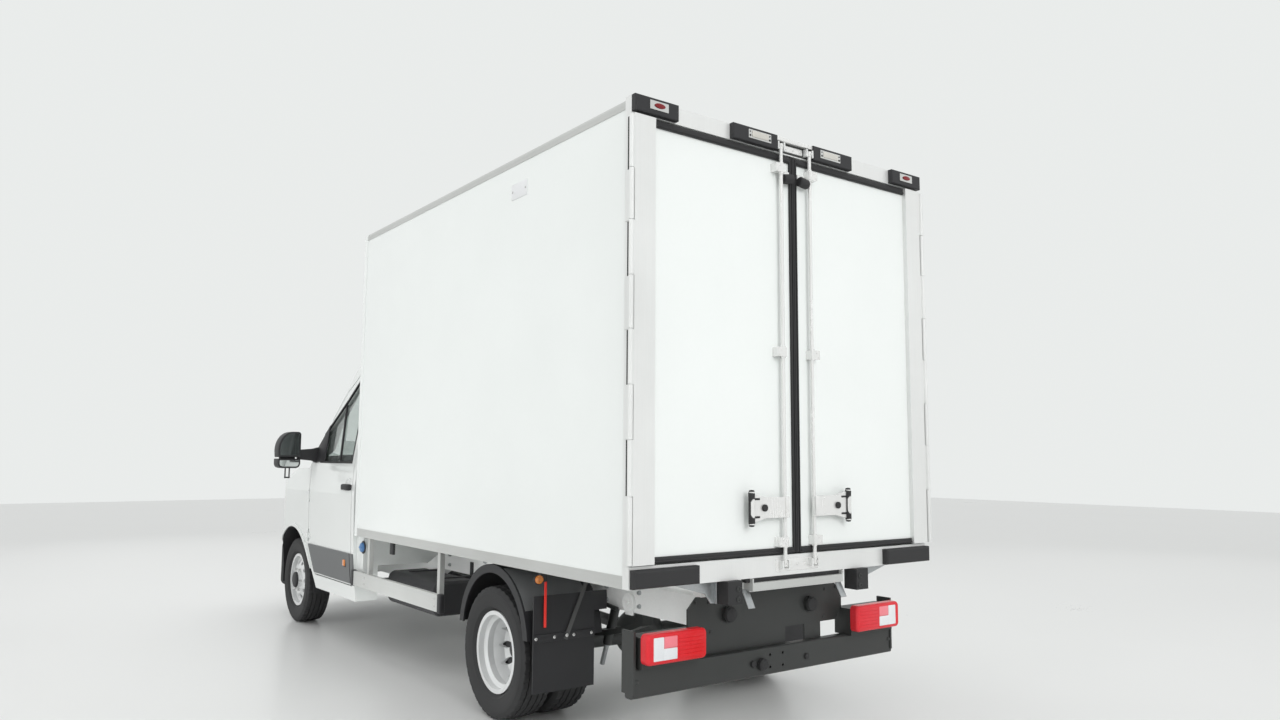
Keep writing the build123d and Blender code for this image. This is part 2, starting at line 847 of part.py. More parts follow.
def cab_volume(inset):
    nose_z = nose_foot_z - 2 * inset
    brow = [(nose_x - setback, height) for setback, height in nose_brow_points]
    step_x = front_axle_x + 2 * inset
    with BuildPart() as lower:
        with BuildSketch(Plane.YZ.offset(cab_rear_x + inset)):
            cab_section(inset)
        extrude(amount=nose_x - cab_rear_x)
        with BuildSketch(Plane.XZ):
            with BuildLine():
                Polyline(
                    (cab_rear_x, cab_belt_z),
                    (cab_rear_x, cab_bottom_z - 2 * inset),
                    (step_x, cab_bottom_z - 2 * inset),
                    (step_x, nose_z),
                    (nose_x, nose_z),
                    brow[0],
                )
                ThreePointArc(*brow)
                Polyline(brow[2], (cowl_x, cowl_z), (cab_rear_x, cab_belt_z))
            make_face()
            if inset:
                offset(amount=-inset)
        extrude(amount=box_width, both=True, mode=Mode.INTERSECT)
        with BuildSketch(Plane.XY):
            plan_outline(0, inset)
        extrude(amount=box_top_z, mode=Mode.INTERSECT)
    roof_rear, roof_middle, roof_front = [(cab_rear_x + reach, height) for reach, height in roof_points]
    with BuildPart() as upper:
        screen_inset = inset * sqrt(screen_slope[0] ** 2 + screen_slope[1] ** 2) / screen_slope[1]
        base_x = screen_base_x - screen_inset
        shift = screen_drop * screen_slope[0] / screen_slope[1]
        wedge_z = screen_base_z - screen_drop + wedge_lift
        with BuildSketch(Plane.XY.offset(screen_base_z - screen_drop)):
            with BuildLine():
                corner_x = base_x - screen_wrap - shift
                ThreePointArc(
                    (corner_x, screen_half_chord),
                    (base_x - shift, 0),
                    (corner_x, -screen_half_chord),
                )
                Polyline(
                    (corner_x, screen_half_chord),
                    (corner_x, half_box),
                    (cab_rear_x - wedge_tail, half_box),
                    (cab_rear_x - wedge_tail, -half_box),
                    (corner_x, -half_box),
                    (corner_x, -screen_half_chord),
                )
            make_face()
        extrude(amount=screen_length, dir=(screen_slope[0], 0, screen_slope[1]))
        with BuildSketch(Plane.YZ.offset(cab_rear_x + inset)):
            cab_section(inset)
        extrude(amount=nose_x - cab_rear_x, mode=Mode.INTERSECT)
        with BuildSketch(Plane.XZ):
            with BuildLine():
                Polyline(
                    roof_rear,
                    (cab_rear_x, wedge_z),
                    (wedge_front_x, wedge_z),
                    (wedge_front_x, wedge_head_z),
                    roof_front,
                )
                ThreePointArc(roof_front, roof_middle, roof_rear)
            make_face()
            if inset:
                offset(amount=-inset)
        extrude(amount=box_width, both=True, mode=Mode.INTERSECT)
    with BuildPart() as volume:
        add(lower.part)
        add(upper.part)
        if inset == 0:
            nose_edges = [
                edge
                for edge in volume.edges()
                if edge.center().X > cowl_x + cut_past
                and abs(edge.center().Y) > bonnet_half_width - wall_lap
                and edge.center().Z > bonnet_foot_z + cab_wall
            ]
            fillet(nose_edges, nose_round)
    return volume.part


def door_outline(grow):
    with BuildLine() as outline:
        Polyline(
            *((door_front_x - setback, height) for setback, height in door_front_points),
            (door_rear_x, door_foot_z),
            (door_rear_x, door_head_z - door_corner),
            (door_rear_x + door_corner, door_head_z),
            close=True,
        )
    make_face(outline.edges())
    if grow:
        offset(amount=grow)


def window_outline(grow):
    with BuildLine() as outline:
        Polyline(
            *((door_front_x - setback, height) for setback, height in window_front_points),
            (door_rear_x + window_frame, window_foot_z),
            (door_rear_x + window_frame, door_head_z - window_frame),
            close=True,
        )
    make_face(outline.edges())
    if grow:
        offset(amount=grow)


def arch_outline(radius):
    with Locations((front_axle_x, tyre_radius)):
        Circle(radius)
    with BuildLine() as outline:
        Polyline(
            *((front_axle_x - setback, height) for setback, height in arch_tail_points),
            close=True,
        )
    make_face(outline.edges())


def headlamp_outline(side):
    Polygon(*((side * reach, height) for reach, height in headlamp_points), align=None)


cab_outside = cab_volume(0)
cab_inside = cab_volume(cab_wall)
with BuildPart() as cab_skin:
    add(cab_outside)
    add(cab_inside, mode=Mode.SUBTRACT)


def screen_outline(grow):
    with BuildLine() as outline:
        Polyline(
            (-screen_foot_y, screen_z[0]),
            (screen_foot_y, screen_z[0]),
            (screen_head_y, screen_z[1]),
            (-screen_head_y, screen_z[1]),
            close=True,
        )
    make_face(outline.edges())
    if grow:
        offset(amount=grow)


# Proud trim follows the cab's own outside: arch lips, mirror sails and door cladding
trim_outside = cab_volume(-trim_proud)
with BuildPart() as arch_lips:
    for side, hand in sides:
        with BuildSketch(Plane.XZ.offset(-side * arch_inner_y)):
            with Locations((front_axle_x, tyre_radius)):
                Circle(arch_radius + arch_lip)
        extrude(amount=-side * (plan_half_width - arch_inner_y))
    add(trim_outside, mode=Mode.INTERSECT)

# Wheelhouses: an arch wall and an inner cheek, ending at the cab's outside
with BuildPart() as wheelhouses:
    for side, hand in sides:
        with BuildSketch(Plane.XZ.offset(-side * (wheelhouse_y - wheelhouse_wall))):
            with Locations((front_axle_x, tyre_radius)):
                Circle(arch_radius + wheelhouse_wall)
        extrude(amount=-side * (wheelhouse_outer_y - wheelhouse_y + wheelhouse_wall))
        with BuildSketch(Plane.XZ.offset(-side * wheelhouse_y)):
            with Locations((front_axle_x, tyre_radius)):
                Circle(arch_radius)
        extrude(amount=-side * (wheelhouse_outer_y - wheelhouse_y), mode=Mode.SUBTRACT)
    block(
        (front_axle_x - 2 * arch_radius, front_axle_x + 2 * arch_radius),
        (-wheelhouse_outer_y, wheelhouse_outer_y),
        (0, tyre_radius + wheelhouse_foot),
        Mode.SUBTRACT,
    )
    with BuildSketch(Plane.XY):
        plan_outline(0, 0)
    extrude(amount=box_top_z, mode=Mode.INTERSECT)

hinge_x = door_front_x + 3
bonnet_hinge_x = bonnet_rear_x - 3
with BuildPart() as cab_shell:
    add(cab_skin.part)
    block(
        (cab_rear_x + wall_lap, firewall_x + wall_lap),
        (-cab_floor_half_width, cab_floor_half_width),
        cab_floor_z,
    )
    block(
        (firewall_x, firewall_x + firewall_thickness),
        (-firewall_half_width, firewall_half_width),
        (cab_floor_z[0], firewall_top_z),
    )
    block(
        (cab_rear_x - wall_lap, cab_rear_x + cab_wall + wall_lap),
        (-frame_opening_half_width, frame_opening_half_width),
        (0, cab_floor_z[0]),
        Mode.SUBTRACT,
    )
    add(arch_lips.part)
    for side, hand in sides:
        block(
            (cab_rear_x + wall_lap, door_front_x - sill_setback),
            across(side, sill_inner_y, cab_floor_half_width),
            (cab_bottom_z + wall_lap, cab_floor_z[1]),
        )
        block(
            (cab_rear_x - filler_panel_depth, cab_rear_x + cab_wall / 2),
            across(side, filler_panel_inner_y, cab_side_points[0][0]),
            filler_panel_z,
        )
        with BuildSketch(Plane.XZ.offset(-side * wheelhouse_y)):
            arch_outline(arch_radius)
        extrude(amount=-side * plan_half_width, mode=Mode.SUBTRACT)
        with BuildSketch(Plane.XZ.offset(-side * door_cut_y)):
            door_outline(shut_gap)
        extrude(amount=-side * door_cut_reach, mode=Mode.SUBTRACT)
        with BuildSketch(Plane.YZ.offset(nose_cut_x)):
            headlamp_outline(side)
        extrude(amount=nose_x - nose_cut_x, mode=Mode.SUBTRACT)
        for height in cab_hinge_heights:
            rod(
                cab_hinge_radius + moving_gap,
                (hinge_x, side * cab_hinge_y, height - cab_hinge_barrel / 2 - 2),
                (hinge_x, side * cab_hinge_y, height + cab_hinge_barrel / 2 + 2),
                Mode.SUBTRACT,
            )
            for toward in (1, -1):
                near = height + toward * (cab_hinge_barrel / 2 + 2)
                far = near + toward * cab_hinge_lug
                rod(
                    cab_hinge_radius,
                    (hinge_x, side * cab_hinge_y, near),
                    (hinge_x, side * cab_hinge_y, far),
                )
                block(
                    (hinge_x, hinge_x + cab_hinge_strap),
                    across(side, cab_hinge_y - 20, cab_hinge_y - 4),
                    across(1, near, far),
                )
            rod(
                cab_hinge_pin,
                (hinge_x, side * cab_hinge_y, height - cab_hinge_barrel),
                (hinge_x, side * cab_hinge_y, height + cab_hinge_barrel),
            )
    add(wheelhouses.part)
    block(
        (nose_cut_x, nose_x + cut_past),
        (-grille_half_width, grille_half_width),
        grille_z,
        Mode.SUBTRACT,
    )
    block(
        (bonnet_rear_x - shut_gap, nose_x + cut_past),
        (-bonnet_half_width - shut_gap, bonnet_half_width + shut_gap),
        (bonnet_foot_z - shut_gap, bonnet_cut_z),
        Mode.SUBTRACT,
    )
    with BuildSketch(Plane.YZ.offset(screen_cut_x)):
        screen_outline(0)
    extrude(amount=nose_x - cab_rear_x, mode=Mode.SUBTRACT)
    for side, hand in sides:
        low, high = bonnet_hinge_y - cab_hinge_barrel / 2 - 2, bonnet_hinge_y + cab_hinge_barrel / 2 + 2
        rod(
            cab_hinge_radius + moving_gap,
            (bonnet_hinge_x, side * low, bonnet_hinge_z),
            (bonnet_hinge_x, side * high, bonnet_hinge_z),
            Mode.SUBTRACT,
        )
        for near, far in ((low, low - cab_hinge_lug), (high, high + cab_hinge_lug)):
            rod(
                cab_hinge_radius,
                (bonnet_hinge_x, side * near, bonnet_hinge_z),
                (bonnet_hinge_x, side * far, bonnet_hinge_z),
            )
            block(
                (bonnet_hinge_x - cab_hinge_strap, bonnet_hinge_x),
                across(side, near, far),
                (bonnet_hinge_z - 20, bonnet_hinge_z - 4),
            )
        rod(
            cab_hinge_pin,
            (bonnet_hinge_x, side * (low - 10), bonnet_hinge_z),
            (bonnet_hinge_x, side * (high + 10), bonnet_hinge_z),
        )
save(cab_shell, "cab_shell")

# Glass: a thin skin inside the outer surface, cut to the window outlines
glass_outside = cab_volume(glass_inset)
glass_inside = cab_volume(glass_inset + glass_thickness)
with BuildPart() as windscreen:
    add(glass_outside)
    add(glass_inside, mode=Mode.SUBTRACT)
    with BuildSketch(Plane.YZ.offset(screen_cut_x)):
        screen_outline(-seat_gap)
    extrude(amount=nose_x - cab_rear_x, mode=Mode.INTERSECT)
save(windscreen, "windscreen")

with BuildPart() as trim_skin:
    add(trim_outside)
    add(cab_outside, mode=Mode.SUBTRACT)

for side, hand in sides:
    with BuildPart() as cab_door:
        add(cab_skin.part)
        with BuildSketch(Plane.XZ.offset(-side * door_cut_y)):
            door_outline(0)
        extrude(amount=-side * door_cut_reach, mode=Mode.INTERSECT)
        with BuildSketch(Plane.XZ.offset(-side * door_cut_y)):
            window_outline(0)
        extrude(amount=-side * door_cut_reach, mode=Mode.SUBTRACT)
        for height in cab_hinge_heights:
            for toward in (1, -1):
                near = height + toward * (cab_hinge_barrel / 2 + 2)
                rod(
                    cab_hinge_radius + moving_gap,
                    (hinge_x, side * cab_hinge_y, near - toward * 2),
                    (hinge_x, side * cab_hinge_y, near + toward * (cab_hinge_lug + moving_gap)),
                    Mode.SUBTRACT,
                )
            low, high = height - cab_hinge_barrel / 2, height + cab_hinge_barrel / 2
            rod(cab_hinge_radius, (hinge_x, side * cab_hinge_y, low), (hinge_x, side * cab_hinge_y, high))
            block(
                (hinge_x - cab_hinge_strap, hinge_x),
                across(side, cab_hinge_y - 20, cab_hinge_y - 4),
                (low, high),
            )
            rod(
                cab_hinge_pin + seat_gap,
                (hinge_x, side * cab_hinge_y, low - 2),
                (hinge_x, side * cab_hinge_y, high + 2),
                Mode.SUBTRACT,
            )
        grip_x = door_rear_x + door_grip_setback
        block((grip_x, grip_x + door_grip_length), across(side, *door_grip_y), door_grip_z)
    save(cab_door, f"cab_door_{hand}")

    with BuildPart() as door_glass:
        add(glass_outside)
        add(glass_inside, mode=Mode.SUBTRACT)
        with BuildSketch(Plane.XZ.offset(-side * door_cut_y)):
            window_outline(-seat_gap)
        extrude(amount=-side * door_cut_reach, mode=Mode.INTERSECT)
    save(door_glass, f"door_glass_{hand}")

    with BuildPart() as mirror_sail:
        add(trim_skin.part)
        with BuildSketch(Plane.XZ.offset(-side * door_cut_y)):
            Polygon(
                *((door_front_x - setback, cab_belt_z + rise) for setback, rise in sail_points),
                align=None,
            )
        extrude(amount=-side * door_cut_reach, mode=Mode.INTERSECT)

    with BuildPart() as mirror_head:
        depth_back, depth_front = mirror_depth
        head_x = (mirror_x - depth_back, mirror_x + depth_front)
        block(head_x, across(side, *mirror_y), (mirror_split_z[1], mirror_z[1]))
        block(head_x, across(side, *mirror_y), (mirror_z[0], mirror_split_z[0]))
        fillet(mirror_head.edges().filter_by(Axis.X).group_by(Axis.Z)[-1], mirror_crown_round)
        fillet(mirror_head.edges().filter_by(Axis.X).group_by(Axis.Z)[0], mirror_foot_round)
        fillet(mirror_head.faces().group_by(Axis.X)[-1].edges(), mirror_front_round)
        block(
            (mirror_x, head_x[1] - mirror_lap),
            across(side, mirror_y[0] + mirror_lap, mirror_y[1] - mirror_lap),
            (mirror_split_z[0] - 10, mirror_split_z[1] + 10),
        )
        for low, high in ((mirror_z[0], mirror_split_z[0]), (mirror_split_z[1], mirror_z[1])):
            with BuildSketch(Plane.YZ.offset(head_x[0])):
                with Locations((side * (mirror_y[0] + mirror_y[1]) / 2, (low + high) / 2)):
                    RectangleRounded(
                        mirror_y[1] - mirror_y[0] - 2 * mirror_rim,
                        high - low - 2 * mirror_rim,
                        mirror_glass_corner,
                    )
            extrude(amount=mirror_glass_recess, mode=Mode.SUBTRACT)
        block(
            (mirror_x - mirror_arm_half, mirror_x + mirror_arm_half),
            across(side, mirror_arm_root_y, mirror_y[0] + mirror_lap),
            mirror_arm_z,
        )
        add(cab_outside, mode=Mode.SUBTRACT)
        add(mirror_sail.part)
    save(mirror_head, f"mirror_{hand}")

    with BuildPart() as door_cladding:
        add(trim_skin.part)
        with BuildSketch(Plane.XZ.offset(-side * door_cut_y)):
            door_outline(-shut_gap)
        extrude(amount=-side * door_cut_reach, mode=Mode.INTERSECT)
        block(
            (cab_rear_x, nose_x),
            across(side, door_cut_y, door_cut_y + door_cut_reach),
            cladding_z,
            Mode.INTERSECT,
        )
    save(door_cladding, f"door_cladding_{hand}")

with BuildPart() as bonnet:
    add(cab_skin.part)
    block(
        (bonnet_rear_x, nose_x + cut_past),
        (-bonnet_half_width, bonnet_half_width),
        (bonnet_foot_z, bonnet_cut_z),
        Mode.INTERSECT,
    )
    for side, hand in sides:
        low, high = bonnet_hinge_y - cab_hinge_barrel / 2, bonnet_hinge_y + cab_hinge_barrel / 2
        for near, far in ((low, low - cab_hinge_lug), (high, high + cab_hinge_lug)):
            way = 1 if far > near else -1
            rod(
                cab_hinge_radius + moving_gap,
                (bonnet_hinge_x, side * near, bonnet_hinge_z),
                (bonnet_hinge_x, side * (far + way * moving_gap), bonnet_hinge_z),
                Mode.SUBTRACT,
            )
        rod(
            cab_hinge_radius,
            (bonnet_hinge_x, side * low, bonnet_hinge_z),
            (bonnet_hinge_x, side * high, bonnet_hinge_z),
        )
        block(
            (bonnet_hinge_x, bonnet_hinge_x + cab_hinge_strap),
            across(side, low, high),
            (bonnet_hinge_z - 20, bonnet_hinge_z - 4),
        )
        rod(
            cab_hinge_pin + seat_gap,
            (bonnet_hinge_x, side * (low - 2), bonnet_hinge_z),
            (bonnet_hinge_x, side * (high + 2), bonnet_hinge_z),
            Mode.SUBTRACT,
        )
save(bonnet, "bonnet")

with BuildPart() as headlamps:
    add(cab_skin.part)
    with BuildSketch(Plane.YZ.offset(nose_cut_x)):
        for side in (1, -1):
            headlamp_outline(side)
    extrude(amount=nose_x - nose_cut_x, mode=Mode.INTERSECT)
save(headlamps, "headlamps")

with BuildPart() as front_grille:
    add(cab_skin.part)
    block(
        (nose_cut_x, nose_x + cut_past),
        (-grille_half_width, grille_half_width),
        grille_z,
        Mode.INTERSECT,
    )
    slot_count = int((grille_z[1] - grille_z[0] - grille_rim) // grille_pitch)
    for row in range(slot_count):
        slot_z = grille_z[0] + grille_first_slot + row * grille_pitch
        block(
            (nose_cut_x, nose_x + cut_past),
            (-grille_half_width + grille_rim, grille_half_width - grille_rim),
            (slot_z, slot_z + grille_pitch - grille_bar),
            Mode.SUBTRACT,
        )
save(front_grille, "front_grille")

with BuildPart() as front_bumper:
    with BuildSketch(Plane.XY.offset(bumper_z[0])):
        plan_outline(bumper_proud, 0)
    extrude(amount=bumper_z[1] - bumper_z[0])
    upright_edges = front_bumper.edges().filter_by(Axis.Z)
    fillet([edge for edge in upright_edges if edge.center().X > front_axle_x], bumper_corner)
    fillet(front_bumper.faces().sort_by(Axis.Z)[0].edges(), bumper_roll)
    fillet(front_bumper.faces().sort_by(Axis.Z)[-1].edges(), bumper_roll)
    with BuildSketch(Plane.XY.offset(bumper_z[0])):
        plan_outline(bumper_proud, bumper_wall)
    extrude(amount=bumper_z[1] - bumper_z[0], mode=Mode.SUBTRACT)
    block(
        (bumper_rear_x, nose_x + cut_past),
        (-bumper_half_width, bumper_half_width),
        bumper_z,
        Mode.INTERSECT,
    )
    for row in range(intake_slots):
        slot_z = bumper_z[0] + intake_foot + row * grille_pitch
        block(
            (bumper_rear_x, nose_x + cut_past),
            (-intake_half_width, intake_half_width),
            (slot_z, slot_z + grille_pitch - grille_bar),
            Mode.SUBTRACT,
        )
    for side, hand in sides:
        fog_y, fog_z = fog_place
        rod(
            fog_radius,
            (fog_floor_x, side * fog_y, fog_z),
            (nose_x + cut_past, side * fog_y, fog_z),
            Mode.SUBTRACT,
        )
save(front_bumper, "front_bumper")

# Cab equipment
with BuildPart() as dashboard:
    block((firewall_x - dash_depth, firewall_x), (-dash_half_width, dash_half_width), dash_z)
    fillet(dashboard.edges().filter_by(Axis.Y).group_by(Axis.X)[0], dash_round)
    add(cab_inside, mode=Mode.INTERSECT)
    column_dir = Vector(-cos(radians(wheel_tilt)), 0, sin(radians(wheel_tilt)))
    column_top = Vector(*wheel_centre) - column_dir * (steering_hub_depth / 2 + seat_gap)
    rod(column_radius, tuple(column_top - column_dir * column_length), tuple(column_top))
save(dashboard, "dashboard")

with BuildPart() as steering_wheel:
    ring_plane = Plane(origin=wheel_centre, x_dir=(0, 1, 0), z_dir=column_dir)
    with Locations(ring_plane.location):
        Torus(steering_ring_radius, steering_tube_radius)
        Cylinder(steering_hub_radius, steering_hub_depth)
        for angle in spoke_angles:
            with Locations(Location((0, 0, 0), (0, 0, angle))):
                with Locations((steering_ring_radius / 2, 0, 0)):
                    Box(steering_ring_radius, *spoke_size)
save(steering_wheel, "steering_wheel")

# Each seat: name, lowest and highest Y
for seat_name, low_y, high_y in (
    ("driver_seat", driver_y - seat_width / 2, driver_y + seat_width / 2),
    ("passenger_bench", bench_y[0], bench_y[1]),
):
    with BuildPart() as seat:
        with BuildSketch(Plane.XZ.offset(-low_y)):
            with BuildLine():
                Polyline(*((seat_x + reach, height) for reach, height in seat_points), close=True)
            make_face()
        extrude(amount=low_y - high_y)
        fillet(seat.edges().filter_by(Axis.Y).group_by(Axis.Z)[-1], seat_head_round)
        rest_depth, rest_width, rest_height = headrest_size
        places = round((high_y - low_y) / seat_width)
        for place in range(places):
            rest_y = low_y + (place + 0.5) * (high_y - low_y) / places
            rest_z = seat_head_z + headrest_rise
            block(
                (seat_x, seat_x + rest_depth),
                (rest_y - rest_width / 2, rest_y + rest_width / 2),
                (rest_z, rest_z + rest_height),
            )
            for post_y in (rest_y - rest_width / 4, rest_y + rest_width / 4):
                post_x = seat_x + rest_depth / 2
                post_z = (seat_head_z - headrest_lap, rest_z + headrest_lap)
                rod(headrest_post, (post_x, post_y, post_z[0]), (post_x, post_y, post_z[1]))
    save(seat, seat_name)

with BuildPart() as engine_block:
    block(engine_x, (-engine_half_width, engine_half_width), engine_z)
    for side, hand in sides:
        block(
            (engine_x[0] + engine_mount[0], engine_x[0] + engine_mount[1]),
            across(side, engine_half_width, rail_outer_y - wall_lap),
            (front_rail_top_z, front_rail_top_z + engine_mount_height),
        )
save(engine_block, "engine_block")

# Front axle beam with king pins, and the knuckles that turn on them
with BuildPart() as front_axle:
    block(
        (front_axle_x - beam_half_width, front_axle_x + beam_half_width),
        (-king_pin_y, king_pin_y),
        beam_z,
    )
    for side, hand in sides:
        rod(
            beam_half_width,
            (front_axle_x, side * king_pin_y, beam_z[0]),
            (front_axle_x, side * king_pin_y, beam_z[1]),
        )
        rod(
            king_pin_radius,
            (front_axle_x, side * king_pin_y, beam_z[0]),
            (front_axle_x, side * king_pin_y, sleeve_z[1] + 20),
        )
        block(
            (front_axle_x - beam_half_width, front_axle_x + beam_half_width),
            across(side, rail_outer_y - rail_width, rail_outer_y),
            (beam_z[1], front_rail_top_z - rail_height),
        )
save(front_axle, "front_axle")

for side, hand in sides:
    with BuildPart() as knuckle:
        rod(
            knuckle_sleeve_radius,
            (front_axle_x, side * king_pin_y, sleeve_z[0]),
            (front_axle_x, side * king_pin_y, sleeve_z[1]),
        )
        rod(
            spindle_radius,
            (front_axle_x, side * king_pin_y, tyre_radius),
            (front_axle_x, side * (front_hub_plane_y - 4), tyre_radius),
        )
        rod(
            brake_disc_radius,
            (front_axle_x, side * (king_pin_y + 56), tyre_radius),
            (front_axle_x, side * (king_pin_y + 84), tyre_radius),
        )
        rod(
            king_pin_radius + seat_gap,
            (front_axle_x, side * king_pin_y, beam_z[1]),
            (front_axle_x, side * king_pin_y, tyre_radius + brake_disc_radius),
            Mode.SUBTRACT,
        )
    save(knuckle, f"knuckle_{hand}")


# Wheels: each outline is drawn as (distance along Y, distance from the axle)
def wheel_plane(axle_x):
    return Plane(origin=(axle_x, 0, tyre_radius), x_dir=(0, 1, 0), z_dir=(1, 0, 0))


def wheel_axis(axle_x):
    return Axis((axle_x, 0, tyre_radius), (0, 1, 0))


def tyre_ring(axle_x, centre_y):
    half, tread = tyre_width / 2, tread_width / 2
    bead_radius = rim_radius + seat_gap
    bead = rim_half_width - 12 - seat_gap
    over_flange = rim_flange_radius + 1
    with BuildSketch(wheel_plane(axle_x)) as section:
        with BuildLine():
            for way in (1, -1):
                Line((centre_y, tyre_radius), (centre_y + way * tread, tyre_radius - 4))
                ThreePointArc(
                    (centre_y + way * tread, tyre_radius - 4),
                    (centre_y + way * (half - 4), tyre_radius - 34),
                    (centre_y + way * half, tyre_radius - 74),
                )
                ThreePointArc(
                    (centre_y + way * half, tyre_radius - 74),
                    (centre_y + way * (half - 9), over_flange + 22),
                    (centre_y + way * bead, over_flange),
                )
                Line((centre_y + way * bead, over_flange), (centre_y + way * bead, bead_radius))
            Line((centre_y - bead, bead_radius), (centre_y + bead, bead_radius))
        make_face()
    revolve(section.sketch, axis=wheel_axis(axle_x))


def rim_ring(axle_x, centre_y, hub_y, bore_radius):
    way = 1 if hub_y > centre_y else -1
    well = rim_radius - 22
    with BuildSketch(wheel_plane(axle_x)) as section:
        with BuildLine():
            Polyline(
                (centre_y - rim_half_width, rim_flange_radius),
                (centre_y - rim_half_width + 10, rim_flange_radius),
                (centre_y - rim_half_width + 12, rim_radius),
                (centre_y - 40, rim_radius),
                (centre_y - 30, well),
                (centre_y + 30, well),
                (centre_y + 40, rim_radius),
                (centre_y + rim_half_width - 12, rim_radius),
                (centre_y + rim_half_width - 10, rim_flange_radius),
                (centre_y + rim_half_width, rim_flange_radius),
                (centre_y + rim_half_width, rim_radius - rim_wall),
                (centre_y + 44, rim_radius - rim_wall),
                (centre_y + 32, well - rim_wall),
                (centre_y - 32, well - rim_wall),
                (centre_y - 44, rim_radius - rim_wall),
                (centre_y - rim_half_width, rim_radius - rim_wall),
                (centre_y - rim_half_width, rim_flange_radius),
            )
        make_face()
    revolve(section.sketch, axis=wheel_axis(axle_x))
    reach = hub_y - centre_y
    with BuildSketch(wheel_plane(axle_x)) as section:
        with BuildLine():
            Polyline(
                (centre_y, well - rim_wall + 1),
                (centre_y + 10 * way, well - rim_wall + 1),
                (centre_y + 0.55 * reach + 8 * way, vent_circle_radius + 16),
                (hub_y, hub_radius + 34),
                (hub_y, bore_radius),
                (hub_y - 10 * way, bore_radius),
                (hub_y - 10 * way, hub_radius + 30),
                (centre_y + 0.55 * reach - 2 * way, vent_circle_radius + 10),
                (centre_y, well - rim_wall + 1),
            )
        make_face()
    revolve(section.sketch, axis=wheel_axis(axle_x))
    with BuildSketch(Plane.XZ.offset(-centre_y - 1.2 * reach)) as vents:
        with Locations((axle_x, tyre_radius)):
            with PolarLocations(vent_circle_radius, vent_count):
                Circle(vent_radius)
    extrude(vents.sketch, amount=1.2 * reach, mode=Mode.SUBTRACT)


def hub_ring(axle_x, start_y, end_y, bore_radius, outer_radius):
    with BuildSketch(wheel_plane(axle_x)) as section:
        with Locations(((start_y + end_y) / 2, (bore_radius + outer_radius) / 2)):
            Rectangle(abs(end_y - start_y), outer_radius - bore_radius)
    revolve(section.sketch, axis=wheel_axis(axle_x))


for side, hand in sides:
    with BuildPart() as front_tyre:
        tyre_ring(front_axle_x, side * front_wheel_y)
    save(front_tyre, f"front_tyre_{hand}")

    with BuildPart() as front_rim:
        rim_ring(front_axle_x, side * front_wheel_y, side * front_hub_plane_y, spindle_radius + seat_gap)
        hub_ring(
            front_axle_x,
            side * (front_hub_plane_y - 60),
            side * front_hub_plane_y,
            spindle_radius + seat_gap,
            hub_radius,
        )
        hub_ring(front_axle_x, side * front_hub_plane_y, side * (front_hub_plane_y + 22), 0, hub_radius - 20)
    save(front_rim, f"front_rim_{hand}")

    with BuildPart() as rear_tyres:
        tyre_ring(rear_axle_x, side * rear_outer_y)
        tyre_ring(rear_axle_x, side * rear_inner_y)
    save(rear_tyres, f"rear_tyres_{hand}")

    with BuildPart() as rear_rims:
        rim_ring(rear_axle_x, side * rear_outer_y, side * rear_hub_plane_y, axle_end_radius + seat_gap)
        rim_ring(rear_axle_x, side * rear_inner_y, side * rear_hub_plane_y, axle_end_radius + seat_gap)
        hub_ring(
            rear_axle_x,
            side * (rear_hub_plane_y - 110),
            side * (rear_hub_plane_y + 20),
            axle_end_radius + seat_gap,
            hub_radius,
        )
        hub_ring(
            rear_axle_x,
            side * (rear_hub_plane_y + 20),
            side * (rear_hub_plane_y + 60),
            0,
            hub_radius - 6,
        )
    save(rear_rims, f"rear_rims_{hand}")

# Live rear axle on leaf springs, with the propeller shaft
with BuildPart() as rear_axle:
    rod(
        axle_tube_radius,
        (rear_axle_x, -rear_hub_plane_y + 100, tyre_radius),
        (rear_axle_x, rear_hub_plane_y - 100, tyre_radius),
    )
    for side, hand in sides:
        rod(
            axle_end_radius,
            (rear_axle_x, side * (rear_inner_y - 100), tyre_radius),
            (rear_axle_x, side * (rear_hub_plane_y + 16), tyre_radius),
        )
        spring_y = across(side, rail_outer_y - rail_width + 2, rail_outer_y - rail_width + 2 + spring_width)
        eye_z = rail_top_z - rail_height - 60
        saddle_z = tyre_radius + axle_tube_radius
        with BuildSketch(Plane.XZ.offset(-spring_y[1])):
            with BuildLine():
                ThreePointArc(
                    (rear_axle_x - spring_half_length, eye_z),
                    (rear_axle_x, saddle_z),
                    (rear_axle_x + spring_half_length, eye_z),
                )
                Line(
                    (rear_axle_x + spring_half_length, eye_z),
                    (rear_axle_x + spring_half_length, eye_z + spring_leaf),
                )
                ThreePointArc(
                    (rear_axle_x + spring_half_length, eye_z + spring_leaf),
                    (rear_axle_x, saddle_z + spring_leaf),
                    (rear_axle_x - spring_half_length, eye_z + spring_leaf),
                )
                Line(
                    (rear_axle_x - spring_half_length, eye_z + spring_leaf),
                    (rear_axle_x - spring_half_length, eye_z),
                )
            make_face()
        extrude(amount=spring_width)
        block(
            (rear_axle_x - 60, rear_axle_x + 60),
            spring_y,
            (tyre_radius, saddle_z + spring_leaf + 14),
        )
        for way in (1, -1):
            eye_x = rear_axle_x + way * (spring_half_length - 20)
            block((eye_x - 30, eye_x + 30), spring_y, (eye_z, rail_top_z - rail_height))
    with Locations((rear_axle_x, 0, tyre_radius)):
        Sphere(150)
    rod(36, (rear_axle_x + 100, 0, tyre_radius + 20), (front_axle_x - 400, 0, 520))
save(rear_axle, "rear_axle")

